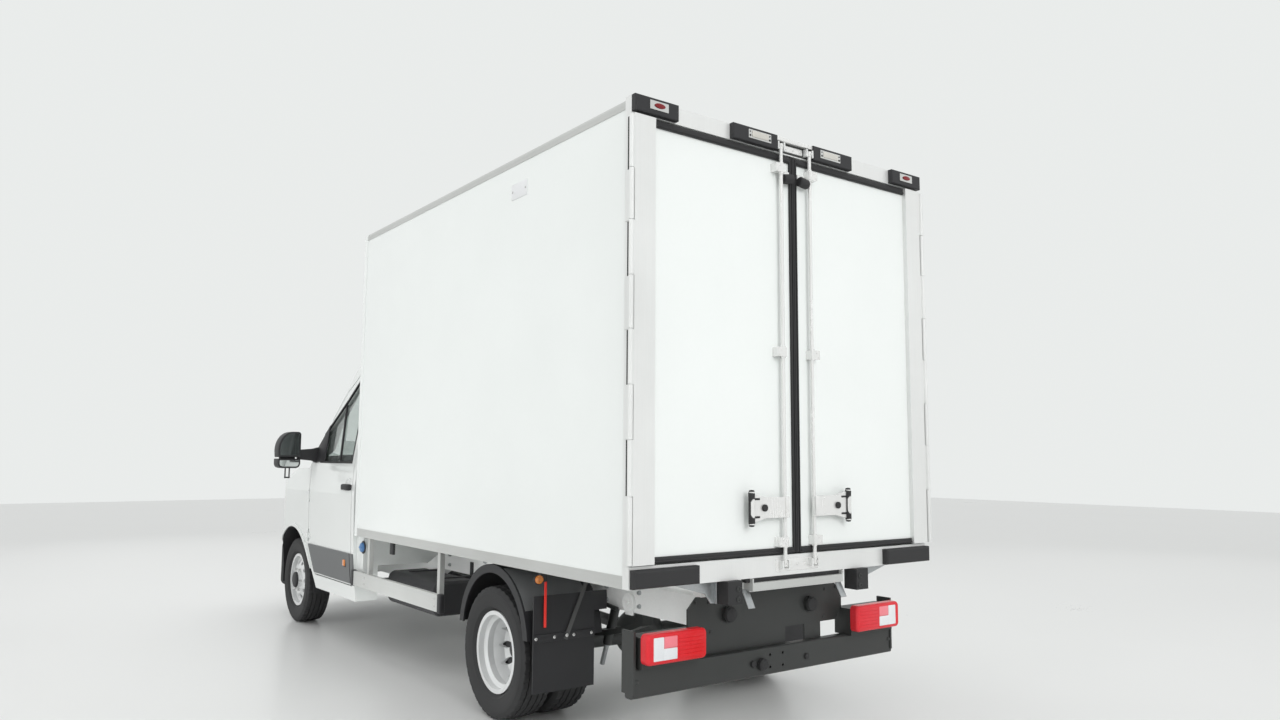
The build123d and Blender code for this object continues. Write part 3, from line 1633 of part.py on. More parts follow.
# Refrigeration unit on the front wall, over the cab roof, and its evaporator inside
unit_x = (box_front_x, box_front_x + 430)
unit_half_width = 800
unit_z = (2410, 2960)
unit_corner = 90
unit_top_round = 60
unit_slots = 7
unit_slot_foot = 90
unit_slot_pitch = 44
unit_slot_height = 24
unit_slot_depth = 30
unit_slot_half_width = 560
evaporator_size = (420, 1240, 190)
evaporator_round = 80
fan_radius = 130
fan_depth = 40
fan_setback = 230
fan_places = (-380, 0, 380)
with BuildPart() as refrigeration_unit:
    block(unit_x, (-unit_half_width, unit_half_width), unit_z)
    fillet(refrigeration_unit.edges().filter_by(Axis.Z).group_by(Axis.X)[-1], unit_corner)
    top_edges = refrigeration_unit.faces().sort_by(Axis.Z)[-1].edges()
    fillet([edge for edge in top_edges if edge.center().X > unit_x[0] + 1], unit_top_round)
    for row in range(unit_slots):
        slot_z = unit_z[0] + unit_slot_foot + row * unit_slot_pitch
        block(
            (unit_x[1] - unit_slot_depth, unit_x[1] + cut_past),
            (-unit_slot_half_width, unit_slot_half_width),
            (slot_z, slot_z + unit_slot_height),
            Mode.SUBTRACT,
        )
save(refrigeration_unit, "refrigeration_unit")

with BuildPart() as evaporator:
    unit_depth, unit_width, unit_height = evaporator_size
    evaporator_x = (box_front_x - front_wall - unit_depth, box_front_x - front_wall)
    evaporator_foot_z = ceiling_z - unit_height
    block(evaporator_x, (-unit_width / 2, unit_width / 2), (evaporator_foot_z, ceiling_z))
    fillet(evaporator.edges().filter_by(Axis.Y).group_by(Axis.Z)[0].sort_by(Axis.X)[0], evaporator_round)
    fan_x = evaporator_x[0] + fan_setback
    for fan_y in fan_places:
        rod(
            fan_radius,
            (fan_x, fan_y, evaporator_foot_z),
            (fan_x, fan_y, evaporator_foot_z + fan_depth),
            Mode.SUBTRACT,
        )
save(evaporator, "evaporator")
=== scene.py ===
from math import cos, pi, radians, sin
import bmesh
import bpy
from mathutils import Matrix, Vector


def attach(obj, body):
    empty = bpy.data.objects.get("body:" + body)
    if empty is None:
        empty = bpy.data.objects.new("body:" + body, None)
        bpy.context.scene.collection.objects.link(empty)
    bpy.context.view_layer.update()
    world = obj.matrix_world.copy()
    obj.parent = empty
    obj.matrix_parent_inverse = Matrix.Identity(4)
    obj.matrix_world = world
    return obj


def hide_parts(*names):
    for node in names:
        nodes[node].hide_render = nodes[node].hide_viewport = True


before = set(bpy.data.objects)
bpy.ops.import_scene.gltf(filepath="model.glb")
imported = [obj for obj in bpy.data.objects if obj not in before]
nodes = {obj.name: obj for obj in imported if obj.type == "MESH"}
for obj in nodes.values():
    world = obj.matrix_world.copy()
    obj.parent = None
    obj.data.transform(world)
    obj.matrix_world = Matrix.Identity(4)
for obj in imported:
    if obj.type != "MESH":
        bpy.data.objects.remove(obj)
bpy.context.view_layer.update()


# Finishes: colour, how far it varies, span of roughness, bumps per metre and their depth in metres,
# then the slot, coat, metal, gloss and stretch, which is the direction of brushing
finishes = {
    "panelWhite": ((0.81, 0.84, 0.825), 0.012, (0.16, 0.24), 55, 0.00012, {"coat": 0.35}),
    "cabPaint": ((0.755, 0.78, 0.765), 0.008, (0.14, 0.2), 420, 0.00004,
        {"slot": "body_white", "coat": 0.8}),
    "railAlu": ((0.53, 0.54, 0.525), 0.04, (0.32, 0.44), 160, 0.00006,
        {"slot": "alu", "metal": 0.35, "stretch": (0.02, 1, 1)}),
    "postAlu": ((0.78, 0.79, 0.78), 0.04, (0.3, 0.42), 160, 0.00006,
        {"metal": 0.35, "stretch": (1, 1, 0.02)}),
    "frameGrey": ((0.88, 0.89, 0.88), 0.06, (0.35, 0.55), 90, 0.0003, {"slot": "frame_grey"}),
    "blackSteel": ((0.03, 0.032, 0.031), 0.006, (0.34, 0.5), 700, 0.00015, {"slot": "black_steel"}),
    "blackPlastic": ((0.02, 0.02, 0.022), 0.006, (0.42, 0.6), 1100, 0.0002, {"slot": "black_plastic"}),
    "greyPlastic": ((0.135, 0.14, 0.142), 0.012, (0.45, 0.6), 1100, 0.0002, {"slot": "black_plastic"}),
    "rubberBlack": ((0.025, 0.025, 0.026), 0.008, (0.55, 0.75), 500, 0.0003, {"slot": "rubber"}),
    "tyreRubber": ((0.03, 0.03, 0.031), 0.012, (0.6, 0.82), 240, 0.0005, {"slot": "tyre"}),
    "wheelSilver": ((0.78, 0.79, 0.79), 0.05, (0.28, 0.4), 900, 0.00008, {"metal": 0.4}),
    "stainless": ((0.72, 0.72, 0.71), 0.06, (0.12, 0.24), 300, 0.00005,
        {"slot": "stainless", "metal": 1.0, "stretch": (1, 1, 0.03)}),
    "rodBright": ((0.84, 0.84, 0.83), 0.04, (0.2, 0.3), 300, 0.00005,
        {"slot": "stainless", "metal": 0.55, "stretch": (1, 1, 0.03)}),
    "galvanised": ((0.5, 0.52, 0.53), 0.12, (0.35, 0.55), 70, 0.0001,
        {"slot": "silver_steel", "metal": 0.8}),
    "castIron": ((0.05, 0.05, 0.052), 0.03, (0.5, 0.75), 180, 0.0008, {"slot": "cast"}),
    "seatCloth": ((0.045, 0.046, 0.05), 0.02, (0.75, 0.95), 900, 0.0006, {"slot": "seat_cloth"}),
    "redLens": ((0.66, 0.004, 0.022), 0.05, (0.14, 0.22), 260, 0.0003, {"slot": "red_lens", "gloss": 0.25}),
    "deepRed": ((0.2, 0.012, 0.02), 0.03, (0.1, 0.18), 260, 0.0003, {"slot": "red_lens", "gloss": 0.3}),
    "lampPlate": ((0.6, 0.585, 0.54), 0.05, (0.3, 0.42), 300, 0.0001, {"slot": "clear_lens", "metal": 0.3}),
    "strutGrey": ((0.075, 0.077, 0.076), 0.02, (0.38, 0.5), 400, 0.0001,
        {"slot": "silver_steel", "metal": 0.2}),
    "pinkLens": ((0.82, 0.2, 0.24), 0.05, (0.06, 0.12), 260, 0.0003, {"slot": "red_lens", "coat": 0.4}),
    # Upper mirror pane: mirror glass darkened as a painted dark reflection
    "mirrorDarkReflection": ((0.1, 0.11, 0.11), 0.03, (0.06, 0.14), 12, 0.00002, {"slot": "glass", "metal": 0.8}),
    "mirrorGlass": ((0.62, 0.65, 0.64), 0.03, (0.02, 0.06), 12, 0.00002, {"slot": "glass", "metal": 1.0}),
    "lampChrome": ((0.75, 0.76, 0.78), 0.05, (0.08, 0.16), 180, 0.0002,
        {"slot": "clear_lens", "metal": 0.9}),
    "floorCoat": ((0.2, 0.205, 0.21), 0.03, (0.6, 0.8), 420, 0.0012, {"slot": "frame_grey"}),
    "screenBlack": ((0.008, 0.009, 0.011), 0.003, (0.05, 0.12), 300, 0.00003,
        {"slot": "glass", "coat": 0.6}),
    "amberLens": ((0.62, 0.2, 0.02), 0.05, (0.06, 0.12), 260, 0.0003, {"slot": "red_lens", "coat": 0.6}),
    "capBlue": ((0.08, 0.2, 0.42), 0.02, (0.35, 0.5), 900, 0.0002, {"slot": "black_plastic"}),
    "redTag": ((0.85, 0.035, 0.02), 0.03, (0.4, 0.55), 500, 0.0002, {"slot": "red_lens"}),
    "plateWhite": ((0.74, 0.75, 0.76), 0.015, (0.35, 0.45), 300, 0.00008, {"slot": "panel_white"}),
    "headLens": ((0.26, 0.28, 0.3), 0.06, (0.04, 0.1), 120, 0.0003, {"metal": 0.55, "coat": 1.0}),
    "clearLens": ((0.72, 0.74, 0.76), 0.08, (0.05, 0.1), 200, 0.0003, {"slot": "clear_lens", "coat": 0.8}),
}


# Sets a node's inputs: a socket is linked, anything else is the value itself
def setInputs(tree, node, values):
    for name, value in values.items():
        if isinstance(value, bpy.types.NodeSocket):
            tree.links.new(value, node.inputs[name])
        else:
            node.inputs[name].default_value = value


def addNode(tree, kind, values, operation=None):
    node = tree.nodes.new("ShaderNode" + kind)
    if operation:
        node.operation = operation
    setInputs(tree, node, values)
    return node


def makeFinish(name, base, drift, rough, grainScale, depth, more):
    finish = bpy.data.materials.new(name)
    finish.use_nodes = True
    tree = finish.node_tree
    place = addNode(tree, "TexCoord", {}).outputs["Object"]
    lie = addNode(tree, "Mapping",
        {"Vector": place, "Scale": more.get("stretch", (1, 1, 1))}).outputs["Vector"]
    cloud = addNode(tree, "TexNoise",
        {"Vector": place, "Scale": more.get("cloud", 2.3), "Detail": 5}).outputs["Fac"]
    grain = addNode(tree, "TexNoise", {"Vector": lie, "Scale": grainScale, "Detail": 3}).outputs["Fac"]
    both = addNode(tree, "Math", {0: grain, 1: 0.35, 2: cloud}, "MULTIPLY_ADD").outputs["Value"]
    tone = addNode(tree, "ValToRGB", {"Fac": both})
    low, high = tone.color_ramp.elements
    low.position, high.position = 0.4, 0.95
    low.color = [max(0, c - drift) for c in base] + [1]
    high.color = [min(1, c + drift) for c in base] + [1]
    reach = {"From Min": 0.35, "From Max": 0.95, "To Min": rough[0], "To Max": rough[1]}
    sheen = addNode(tree, "MapRange", {"Value": both, **reach})
    bump = addNode(tree, "Bump", {"Strength": 0.4, "Distance": depth, "Height": grain})
    setInputs(tree, tree.nodes["Principled BSDF"], {
        "Base Color": tone.outputs["Color"], "Roughness": sheen.outputs["Result"],
        "Normal": bump.outputs["Normal"], "Metallic": more.get("metal", 0.0),
        "Specular IOR Level": more.get("gloss", 0.5), "Coat Weight": more.get("coat", 0.0),
        "Coat Roughness": 0.06,
    })
    return finish


finish = {name: makeFinish(name, *look) for name, look in finishes.items()}


def makeGlass(name, tint):
    glass = makeFinish(name, tint, 0.02, (0.0, 0.03), 6, 0.00002, {})
    shader = glass.node_tree.nodes["Principled BSDF"]
    shader.inputs["Transmission Weight"].default_value = 0.94
    shader.inputs["IOR"].default_value = 1.45
    return glass


finish["cabGlass"] = makeGlass("cabGlass", (0.76, 0.81, 0.79))
print("finishes:", len(finish))

# The CAD nodes that wear each finish, by the start of their names
wears = {
    "frameGrey": "chassis_frame box_floor",
    "panelWhite": "box_side box_roof box_front_wall refrigeration_unit evaporator rear_door",
    "railAlu": "box_edge_rails rear_step side_guards",
    "postAlu": "box_rear_frame rear_door_edge",
    "rubberBlack": "rubber_buffers",
    "blackPlastic": "header_lamps rear_mudguards fuel_tank front_grille dashboard steering_wheel mirror",
    "blackSteel": "underrun_bar front_axle rear_axle",
    "redLens": "tail_lamps",
    "galvanised": "exhaust",
    "cabPaint": "cab_shell bonnet cab_door",
    "cabGlass": "windscreen door_glass",
    "headLens": "headlamps",
    "greyPlastic": "front_bumper door_cladding",
    "seatCloth": "driver_seat passenger_bench",
    "castIron": "engine_block knuckle",
    "tyreRubber": "front_tyre rear_tyres",
    "wheelSilver": "front_rim rear_rims",
    "rodBright": "rear_door_lock",
}
lookOf = {start: look for look, starts in wears.items() for start in starts.split()}
for name, node in nodes.items():
    best = max((start for start in lookOf if name.startswith(start)), key=len)
    node.data.materials.clear()
    node.data.materials.append(finish[lookOf[best]])
print("CAD nodes dressed")

# Mesh helpers
rearward, upward = (-1, 0, 0), (0, 0, 1)


def blanks(count):
    return [bmesh.new() for k in range(count)]


def pour(part, bm):
    mesh = bpy.data.meshes.new("pour")
    part.to_mesh(mesh)
    part.free()
    bm.from_mesh(mesh)
    bpy.data.meshes.remove(mesh)


def about(middle, half):
    return middle - half, middle + half


def onSide(side, *points):
    return [(x, side * y, z) for x, y, z in points]


# A box with rounded edges from its spans along x, y and z, with y on the named side
def softBox(bm, side, x, y, z, edge=0.003, segments=2):
    part = bmesh.new()
    bmesh.ops.create_cube(part, size=1)
    spans = (x, (side * y[0], side * y[1]), z)
    middle = [(low + high) / 2 for low, high in spans]
    span = [abs(high - low) for low, high in spans]
    for vert in part.verts:
        vert.co = Vector([middle[i] + vert.co[i] * span[i] for i in range(3)])
    bmesh.ops.bevel(part, geom=part.edges[:], offset=min(edge, min(span) * 0.45), segments=segments,
        affect="EDGES", profile=0.5)
    pour(part, bm)


def slab(bm, outline, origin, right, up, depth, edge=0.0, segments=2):
    part = bmesh.new()
    origin, right, up = Vector(origin), Vector(right), Vector(up)
    out = right.cross(up).normalized()
    face = part.faces.new([part.verts.new(origin + right * a + up * b) for a, b in outline])
    grown = bmesh.ops.extrude_face_region(part, geom=[face])
    for item in grown["geom"]:
        if isinstance(item, bmesh.types.BMVert):
            item.co += out * depth
    bmesh.ops.recalc_face_normals(part, faces=part.faces[:])
    if edge:
        bmesh.ops.bevel(part, geom=part.edges[:], offset=edge, segments=segments, affect="EDGES",
            profile=0.5)
    pour(part, bm)


def ringVerts(bm, centre, side, up, radius, count):
    turns = [2 * pi * k / count for k in range(count)]
    return [bm.verts.new(centre + (side * cos(turn) + up * sin(turn)) * radius) for turn in turns]


def bandFaces(bm, near, far):
    for k in range(len(near)):
        after = (k + 1) % len(near)
        bm.faces.new((near[k], near[after], far[after], far[k]))


# A thin closed skin between two grids of points
def sheet(bm, face, back):
    rows, cols = len(face) - 1, len(face[0]) - 1
    for k in range(rows):
        for j in range(cols):
            for layer in (face, back):
                bm.faces.new((layer[k][j], layer[k + 1][j], layer[k + 1][j + 1], layer[k][j + 1]))
        for j in (0, cols):
            bm.faces.new((face[k][j], face[k + 1][j], back[k + 1][j], back[k][j]))
    for j in range(cols):
        for k in (0, rows):
            bm.faces.new((face[k][j], face[k][j + 1], back[k][j + 1], back[k][j]))


# A profile of (along, radius) spun about an axis: its ends are capped unless it comes back to its start
def turned(bm, profile, origin, axis, segments=32):
    origin, axis = Vector(origin), Vector(axis).normalized()
    side = axis.orthogonal().normalized()
    up = axis.cross(side)
    closed = profile[0] == profile[-1]
    rings = []
    for along, radius in profile[:-1] if closed else profile:
        centre = origin + axis * along
        rings.append(ringVerts(bm, centre, side, up, radius, segments) if radius else [bm.verts.new(centre)])
    for near, far in zip(rings, rings[1:] + rings[:1] if closed else rings[1:]):
        if len(near) == len(far):
            bandFaces(bm, near, far)
            continue
        tip, ring = (near[0], far) if len(near) == 1 else (far[0], near)
        for k in range(segments):
            bm.faces.new((ring[k], ring[(k + 1) % segments], tip))
    for ring in () if closed else (rings[0], rings[-1]):
        if len(ring) > 1:
            bm.faces.new(ring)


def domeHead(bm, place, axis, radius, height=None):
    height = height or radius * 0.6
    turned(bm, [(0, radius), (height * 0.5, radius * 0.92), (height * 0.85, radius * 0.6), (height, 0)],
        place, axis, 14)


def rodLine(bm, points, radius, segments=12):
    points = [Vector(point) for point in points]
    rings, side = [], None
    for step, point in enumerate(points):
        ahead = (points[min(step + 1, len(points) - 1)] - points[max(step - 1, 0)]).normalized()
        side = (side - ahead * side.dot(ahead) if side else ahead.orthogonal()).normalized()
        rings.append(ringVerts(bm, point, side, ahead.cross(side), radius, segments))
    for near, far in zip(rings, rings[1:]):
        bandFaces(bm, near, far)
    bm.faces.new(rings[0][::-1])
    bm.faces.new(rings[-1])


# Wire rings and four spokes over a fan
def fanCage(bm, middle, radii, ringLift, spoke, spokeLift, thick, count):
    for radius in radii:
        turns = [2 * pi * k / count for k in range(count + 1)]
        rodLine(bm, [middle + Vector((radius * cos(turn), radius * sin(turn), ringLift)) for turn in turns],
            thick, 6)
    hub = middle + Vector((0, 0, spokeLift))
    for k in range(4):
        across = Vector((cos(pi * k / 4), sin(pi * k / 4), 0)) * spoke
        rodLine(bm, [hub - across, hub + across], thick, 6)


def finishPiece(name, bm, look, body="truck", stands=(), crease=35):
    bmesh.ops.recalc_face_normals(bm, faces=bm.faces[:])
    mesh = bpy.data.meshes.new(name)
    bm.to_mesh(mesh)
    bm.free()
    mesh.polygons.foreach_set("use_smooth", [True] * len(mesh.polygons))
    mesh.set_sharp_from_angle(angle=radians(crease))
    piece = bpy.data.objects.new(name, mesh)
    bpy.context.scene.collection.objects.link(piece)
    mesh.materials.append(finish[look])
    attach(piece, body)
    if stands:
        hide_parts(*stands)
    return piece


hands = (("Left", "left", 1), ("Right", "right", -1))
frontAxleX, rearAxleX, wheelRadius = 2.020, -1.620, 0.352

# Rear doors: seals, grips, door buffers, the small lock parts, and dark strips painted as shade in the hinge
# gaps
doorGear = {
    "face": -2.932, "foot": 0.940, "head": 2.972, "hingeEdge": 0.913, "sealProud": 0.012, "topSeal": 0.037,
    "footSeal": 0.03,
    "barX": -2.960, "barY": 0.105, "guideZ": (1.0, 1.94, 2.89), "guideBoltX": -2.974, "camZ": (0.894, 3.006),
    "handleZ": 1.170, "gripX": -2.978, "gripY": 0.345, "pivotY": 0.262, "armY": (0.292, 0.338),
    "handleBolt": (-2.977, 0.165),
    "handlePlate": ((-2.985, -2.9745), (0.094, 0.118)), "knobZ": 2.843, "buffer": (-2.9605, 0.024),
    "bufferPad": ((-2.946, -2.931), (0.03, 0.088)), "hingeShadeStrip": ((-2.9205, -2.9115), (1.0388, 1.0412)),
    "gapShade": ((1.24, 0.245), (1.73, 0.245), (2.22, 0.25), (2.712, 0.25)),
    "gripLine": [
        (-0.088, 0), (-0.086, 0.012), (-0.07, 0.0165), (-0.03, 0.0155), (0.03, 0.0155), (0.07, 0.0165),
        (0.086, 0.012), (0.088, 0),
    ],
    "pivotLine": [(0, 0.017), (0.008, 0.017), (0.011, 0.013), (0.011, 0)],
    "bufferLine": [(0, 0), (0, 0.02), (0.006, 0.0255), (0.058, 0.0255), (0.066, 0.021), (0.066, 0)],
    "guideLine": [(-0.03, 0), (-0.03, 0.0135), (0.03, 0.0135), (0.03, 0)],
    "camLine": [(-0.014, 0), (-0.014, 0.012), (0.014, 0.012), (0.014, 0)],
}


def dressRearDoors():
    g = doorGear
    face, foot, head, edge = g["face"], g["foot"], g["head"], g["hingeEdge"]
    rear, gripX, handleZ, knobZ, barX = face - g["sealProud"], g["gripX"], g["handleZ"], g["knobZ"], g["barX"]
    for hand, word, side in hands:
        leaf = "rear_leaf_" + word
        seal, grip, buffer, lock, gapShade = blanks(5)
        for low, high in ((head - g["topSeal"], head - 0.001), (foot + 0.001, foot + g["footSeal"])):
            softBox(seal, side, (rear, face + 0.001), (0.026, edge), (low, high), 0.004)
            softBox(seal, side, (rear - 0.005, rear + 0.004), (0.027, edge - 0.002),
                (low + 0.006, low + 0.014))
        for step in range(3):  # lips where the leaves meet
            inner = 0.0012 + step * 0.0085
            lip = (rear + 0.004 * (step % 2), face + 0.03)
            softBox(seal, side, lip, (inner, inner + 0.0078), (foot + 0.002, head - 0.002), 0.002)
        turned(grip, g["gripLine"], (gripX + 0.0008, side * g["gripY"], handleZ), upward, 24)
        turned(grip, g["pivotLine"], (gripX - 0.001, side * g["pivotY"], handleZ), rearward, 20)
        for height in about(handleZ, 0.043):
            softBox(grip, side, (gripX - 0.004, gripX + 0.012), g["armY"], about(height, 0.005))
        bufferX, bufferY = g["buffer"]
        turned(buffer, g["bufferLine"], (bufferX, side * bufferY, knobZ + 0.004), (0, side, -0.16), 24)
        softBox(lock, side, *g["bufferPad"], (knobZ - 0.02, knobZ + 0.045), 0.004)
        for height in g["guideZ"]:
            for reach, rise in ((0.128, 0.012), (0.142, -0.012)):
                domeHead(lock, (g["guideBoltX"], side * reach, height + rise), rearward, 0.006)
            turned(lock, g["guideLine"], (barX, side * g["barY"], height), upward, 18)
        for height in g["camZ"]:
            turned(lock, g["camLine"], (barX, side * g["barY"], height), upward, 18)
            softBox(lock, side, (barX - 0.017, barX - 0.006), about(g["barY"], 0.004), about(height, 0.006),
                0.002)
        softBox(lock, side, *g["handlePlate"], about(handleZ, 0.052), 0.004)
        boltX, boltY = g["handleBolt"]
        for rise in (-0.038, 0.0, 0.038):
            domeHead(lock, (boltX, side * boltY, handleZ + rise), rearward, 0.0045)
        # Dark strips down the hinge column: painted shade of the gaps between the hinge knuckles
        for low, length in g["gapShade"]:
            softBox(gapShade, side, *g["hingeShadeStrip"], (low, low + length), 0.0006, 1)
        finishPiece("doorSeal" + hand, seal, "rubberBlack", leaf)
        finishPiece("handleGrip" + hand, grip, "rubberBlack", leaf)
        finishPiece("doorBuffer" + hand, buffer, "rubberBlack", leaf)
        finishPiece("lockFittings" + hand, lock, "rodBright", leaf)
        finishPiece("hingeGapShade" + hand, gapShade, "rubberBlack")
    print("rear doors dressed")


dressRearDoors()

# Header lamps over the doors, with the keeper plate between them
headerLamps = {
    "rear": -2.969, "redY": 0.904, "red": (0.062, 0.024), "bezelY": (0.85, 0.96), "whiteY": (0.183, 0.34),
    "bezelZ": (3.003, 3.047), "keeperBack": ((-2.9405, -2.937), (-0.131, 0.131), (2.984, 3.046)),
    "keeperLip": ((-2.962, -2.937), (-0.131, 0.131), (3.037, 3.057)),
    "keeperTop": ((-2.944, -2.9395), (-0.07, 0.07), (2.994, 3.026)),
    "keeperFoot": ((-2.9405, -2.937), (-0.15, 0.15), (0.855, 0.915)),
    "keeperBolts": ((-2.944, 3.01), (-2.9405, 0.885)), "boltY": (-0.05, 0.0, 0.05),
}


def oval(width, height, count=28):
    return [(width / 2 * cos(2 * pi * k / count), height / 2 * sin(2 * pi * k / count))
        for k in range(count)]


def dressHeader():
    h = headerLamps
    bezels, reds, whites, plate, dark = blanks(5)
    rear, (low, high), (inner, outer) = h["rear"], h["bezelZ"], h["whiteY"]
    middleZ = (low + high) / 2
    for side in (1, -1):
        softBox(bezels, side, (rear - 0.004, rear + 0.003), h["bezelY"], h["bezelZ"])
        slab(reds, oval(*h["red"]), (rear - 0.003, side * h["redY"], middleZ), (0, -1, 0), upward, 0.007,
            0.0025)
        softBox(bezels, side, about(rear, 0.003), h["whiteY"], (low - 0.002, high))
        softBox(whites, side, (rear - 0.007, rear - 0.001), (inner + 0.022, outer - 0.022),
            (low + 0.006, high - 0.006))
        for reach in (inner + 0.01, outer - 0.01):
            domeHead(dark, (rear - 0.003, side * reach, middleZ - 0.01), rearward, 0.006)
            domeHead(dark, (rear - 0.003, side * reach, middleZ + 0.01), rearward, 0.004)
    softBox(dark, 1, *h["keeperBack"], 0.0015)
    softBox(plate, 1, *h["keeperLip"], 0.002)
    softBox(plate, 1, *h["keeperTop"], 0.0015)
    softBox(plate, 1, *h["keeperFoot"], 0.0015)
    for x, height in h["keeperBolts"]:
        for reach in h["boltY"]:
            domeHead(plate, (x, reach, height), rearward, 0.007)
    finishPiece("headerBezels", bezels, "stainless")
    finishPiece("headerRedLamps", reds, "deepRed")
    finishPiece("headerWhiteLamps", whites, "lampPlate")
    finishPiece("keeperBack", dark, "blackSteel")
    finishPiece("keeperPlates", plate, "rodBright")
    print("header dressed")


dressHeader()

# Tail lamps: the pale window, its pink corner and the ribs across the red part
tailLamps = {
    "rear": -2.868, "inner": 0.552, "windowY": (0.711, 0.848), "windowZ": (0.499, 0.603),
    "corner": (0.788, 0.551), "ribs": 6,
}


def dressTailLamps():
    t = tailLamps
    whites, pinks, reds = blanks(3)
    (lowY, highY), (lowZ, highZ), (cornerY, cornerZ) = t["windowY"], t["windowZ"], t["corner"]
    depth, ribDepth = (t["rear"] - 0.003, t["rear"] + 0.006), (t["rear"] - 0.002, t["rear"] + 0.004)
    pitch = (highZ - lowZ) / t["ribs"]
    for side in (1, -1):
        softBox(whites, side, depth, (cornerY, highY), t["windowZ"], 0.005, 3)
        softBox(whites, side, depth, (lowY, cornerY + 0.006), (lowZ, cornerZ), 0.005, 3)
        softBox(pinks, side, depth, (lowY, cornerY - 0.001), (cornerZ + 0.001, highZ), 0.005, 3)
        for row in range(t["ribs"]):
            low = lowZ + row * pitch
            softBox(reds, side, ribDepth, (t["inner"], lowY - 0.008), (low, low + pitch - 0.001), 0.005, 3)
    finishPiece("tailLampWindows", whites, "clearLens")
    finishPiece("tailLampCorners", pinks, "pinkLens")
    finishPiece("tailLampRibs", reds, "redLens")
    print("tail lamps dressed")


dressTailLamps()

# Mudguard side: strut, rivets, marker lamp and its red tag, and a grey sheet over the mudguard's rear top as
# painted reflection
flapGear = {
    "rear": -2.053, "sheenTurn": (16, 62), "sheenY": (0.6, 0.992), "sheenZ": 0.431,
    "sheenRadii": (0.391, 0.3945), "rivetZ": 0.487, "rivetY": (0.98, 0.871, 0.753, 0.643),
    "clampY": (0.622, 0.99), "clampZ": (0.468, 0.506),
    "strut": ((-2.046, 0.634, 0.834), (-2.058, 0.678, 0.75), (-2.06, 0.801, 0.478)),
    "strutBolt": (-2.064, 0.799, 0.49), "hanger": ((-2.068, -2.03), (0.925, 0.955), (0.77, 0.836)),
    "lampArm": ((-2.062, -2.05), (0.945, 0.975), (0.776, 0.796)), "lamp": (-2.058, 0.975, 0.786),
    "tag": ((-2.067, -2.0625), (0.924, 0.939), (0.541, 0.772)),
}


def dressFlaps():
    f = flapGear
    steel, heads, amber, black, red = blanks(5)
    for side in (1, -1):
        strut = [Vector(point) for point in onSide(side, *f["strut"])]
        for near, far in zip(strut, strut[1:]):
            along = (far - near).normalized()
            across = along.cross(Vector((1, 0, 0))).normalized()
            end = (far - near).length + 0.008
            outline = [(-0.012, -0.008), (0.012, -0.008), (0.012, end), (-0.012, end)]
            slab(steel, outline, near - Vector((0.003, 0, 0)), across, along, 0.006, 0.0015)
        for reach in f["rivetY"]:
            domeHead(heads, (f["rear"] - 0.0058, side * reach, f["rivetZ"]), rearward, 0.009)
        bolt, (lampX, lampY, lampZ) = onSide(side, f["strutBolt"], f["lamp"])
        domeHead(heads, bolt, rearward, 0.01)
        softBox(black, side, (f["rear"] - 0.006, f["rear"] + 0.001), f["clampY"], f["clampZ"], 0.002)
        softBox(black, side, *f["hanger"], 0.004)
        turned(black, [(0, 0), (0, 0.026), (0.012, 0.026), (0.012, 0)], (lampX, lampY, lampZ), rearward, 24)
        softBox(black, side, *f["lampArm"])
        dome = [(0, 0.0225), (0.01, 0.022), (0.018, 0.016), (0.021, 0)]
        turned(amber, dome, (lampX - 0.012, lampY, lampZ), rearward, 24)
        softBox(red, side, *f["tag"], 0.002)
    finishPiece("flapStruts", steel, "strutGrey")
    finishPiece("flapRivets", heads, "stainless")
    # Grey sheet just over the rear top of each black mudguard: painted reflection, the sheen of its glossy
    # plastic
    bm = bmesh.new()
    first, last = f["sheenTurn"]
    turns = [radians(first + (last - first) * k / 14) for k in range(15)]
    for side in (1, -1):
        layers = []
        for radius in f["sheenRadii"]:
            points = [(rearAxleX - radius * sin(turn), f["sheenZ"] + radius * cos(turn)) for turn in turns]
            layers.append([[bm.verts.new((x, side * reach, z)) for reach in f["sheenY"]] for x, z in points])
        sheet(bm, *layers)
    finishPiece("guardTopSheen", bm, "greyPlastic")
    finishPiece("flapBrackets", black, "blackPlastic")
    finishPiece("markerLamps", amber, "amberLens")
    finishPiece("flapTags", red, "redTag")
    print("flaps dressed")


dressFlaps()

# Side guards and filler
guardGear = {
    "rear": -0.980, "front": 0.485, "y": (1.000, 1.026), "z": (0.480, 0.582), "posts": (-0.92, 0.255),
    "boltZ": (0.51, 0.552), "padY": (0.955, 0.999), "padZ": (0.826, 0.8355), "filler": (0.41, 0.982, 0.752),
    "fillerGrip": (0.998, 1.008), "cap": [(0, 0.034), (0.014, 0.034), (0.02, 0.03), (0.02, 0)],
    "neck": [(0, 0.046), (0.004, 0.046), (0.006, 0.04), (0.006, 0)],
    "hose": ((-0.12, -0.06), (0.955, 0.972), (0.742, 0.836)),
}


def dressGuards():
    g = guardGear
    caps, heads, blue, black = blanks(4)
    capY, capZ = (g["y"][0] - 0.006, g["y"][1] + 0.004), (g["z"][0] - 0.006, g["z"][1] + 0.006)
    for side in (1, -1):
        for capX in ((g["rear"] - 0.03, g["rear"] + 0.014), (g["front"] - 0.014, g["front"] + 0.035)):
            softBox(caps, side, capX, capY, capZ, 0.008, 3)
        for post in g["posts"]:
            for height in g["boltZ"]:
                domeHead(heads, (post, side * g["y"][1], height), (0, side, 0), 0.008)
            softBox(caps, side, about(post, 0.03), g["padY"], g["padZ"])
    x, y, z = g["filler"]
    turned(blue, g["cap"], (x, y, z), (0, 1, 0), 28)
    softBox(blue, 1, about(x, 0.03), g["fillerGrip"], about(z, 0.006))
    turned(black, g["neck"], (x, y - 0.001, z), (0, 1, 0), 28)
    softBox(black, 1, *g["hose"])
    finishPiece("guardCaps", caps, "blackPlastic")
    finishPiece("guardBolts", heads, "stainless")
    finishPiece("fillerCap", blue, "capBlue")
    finishPiece("fillerNeck", black, "blackPlastic")
    print("side guards dressed")


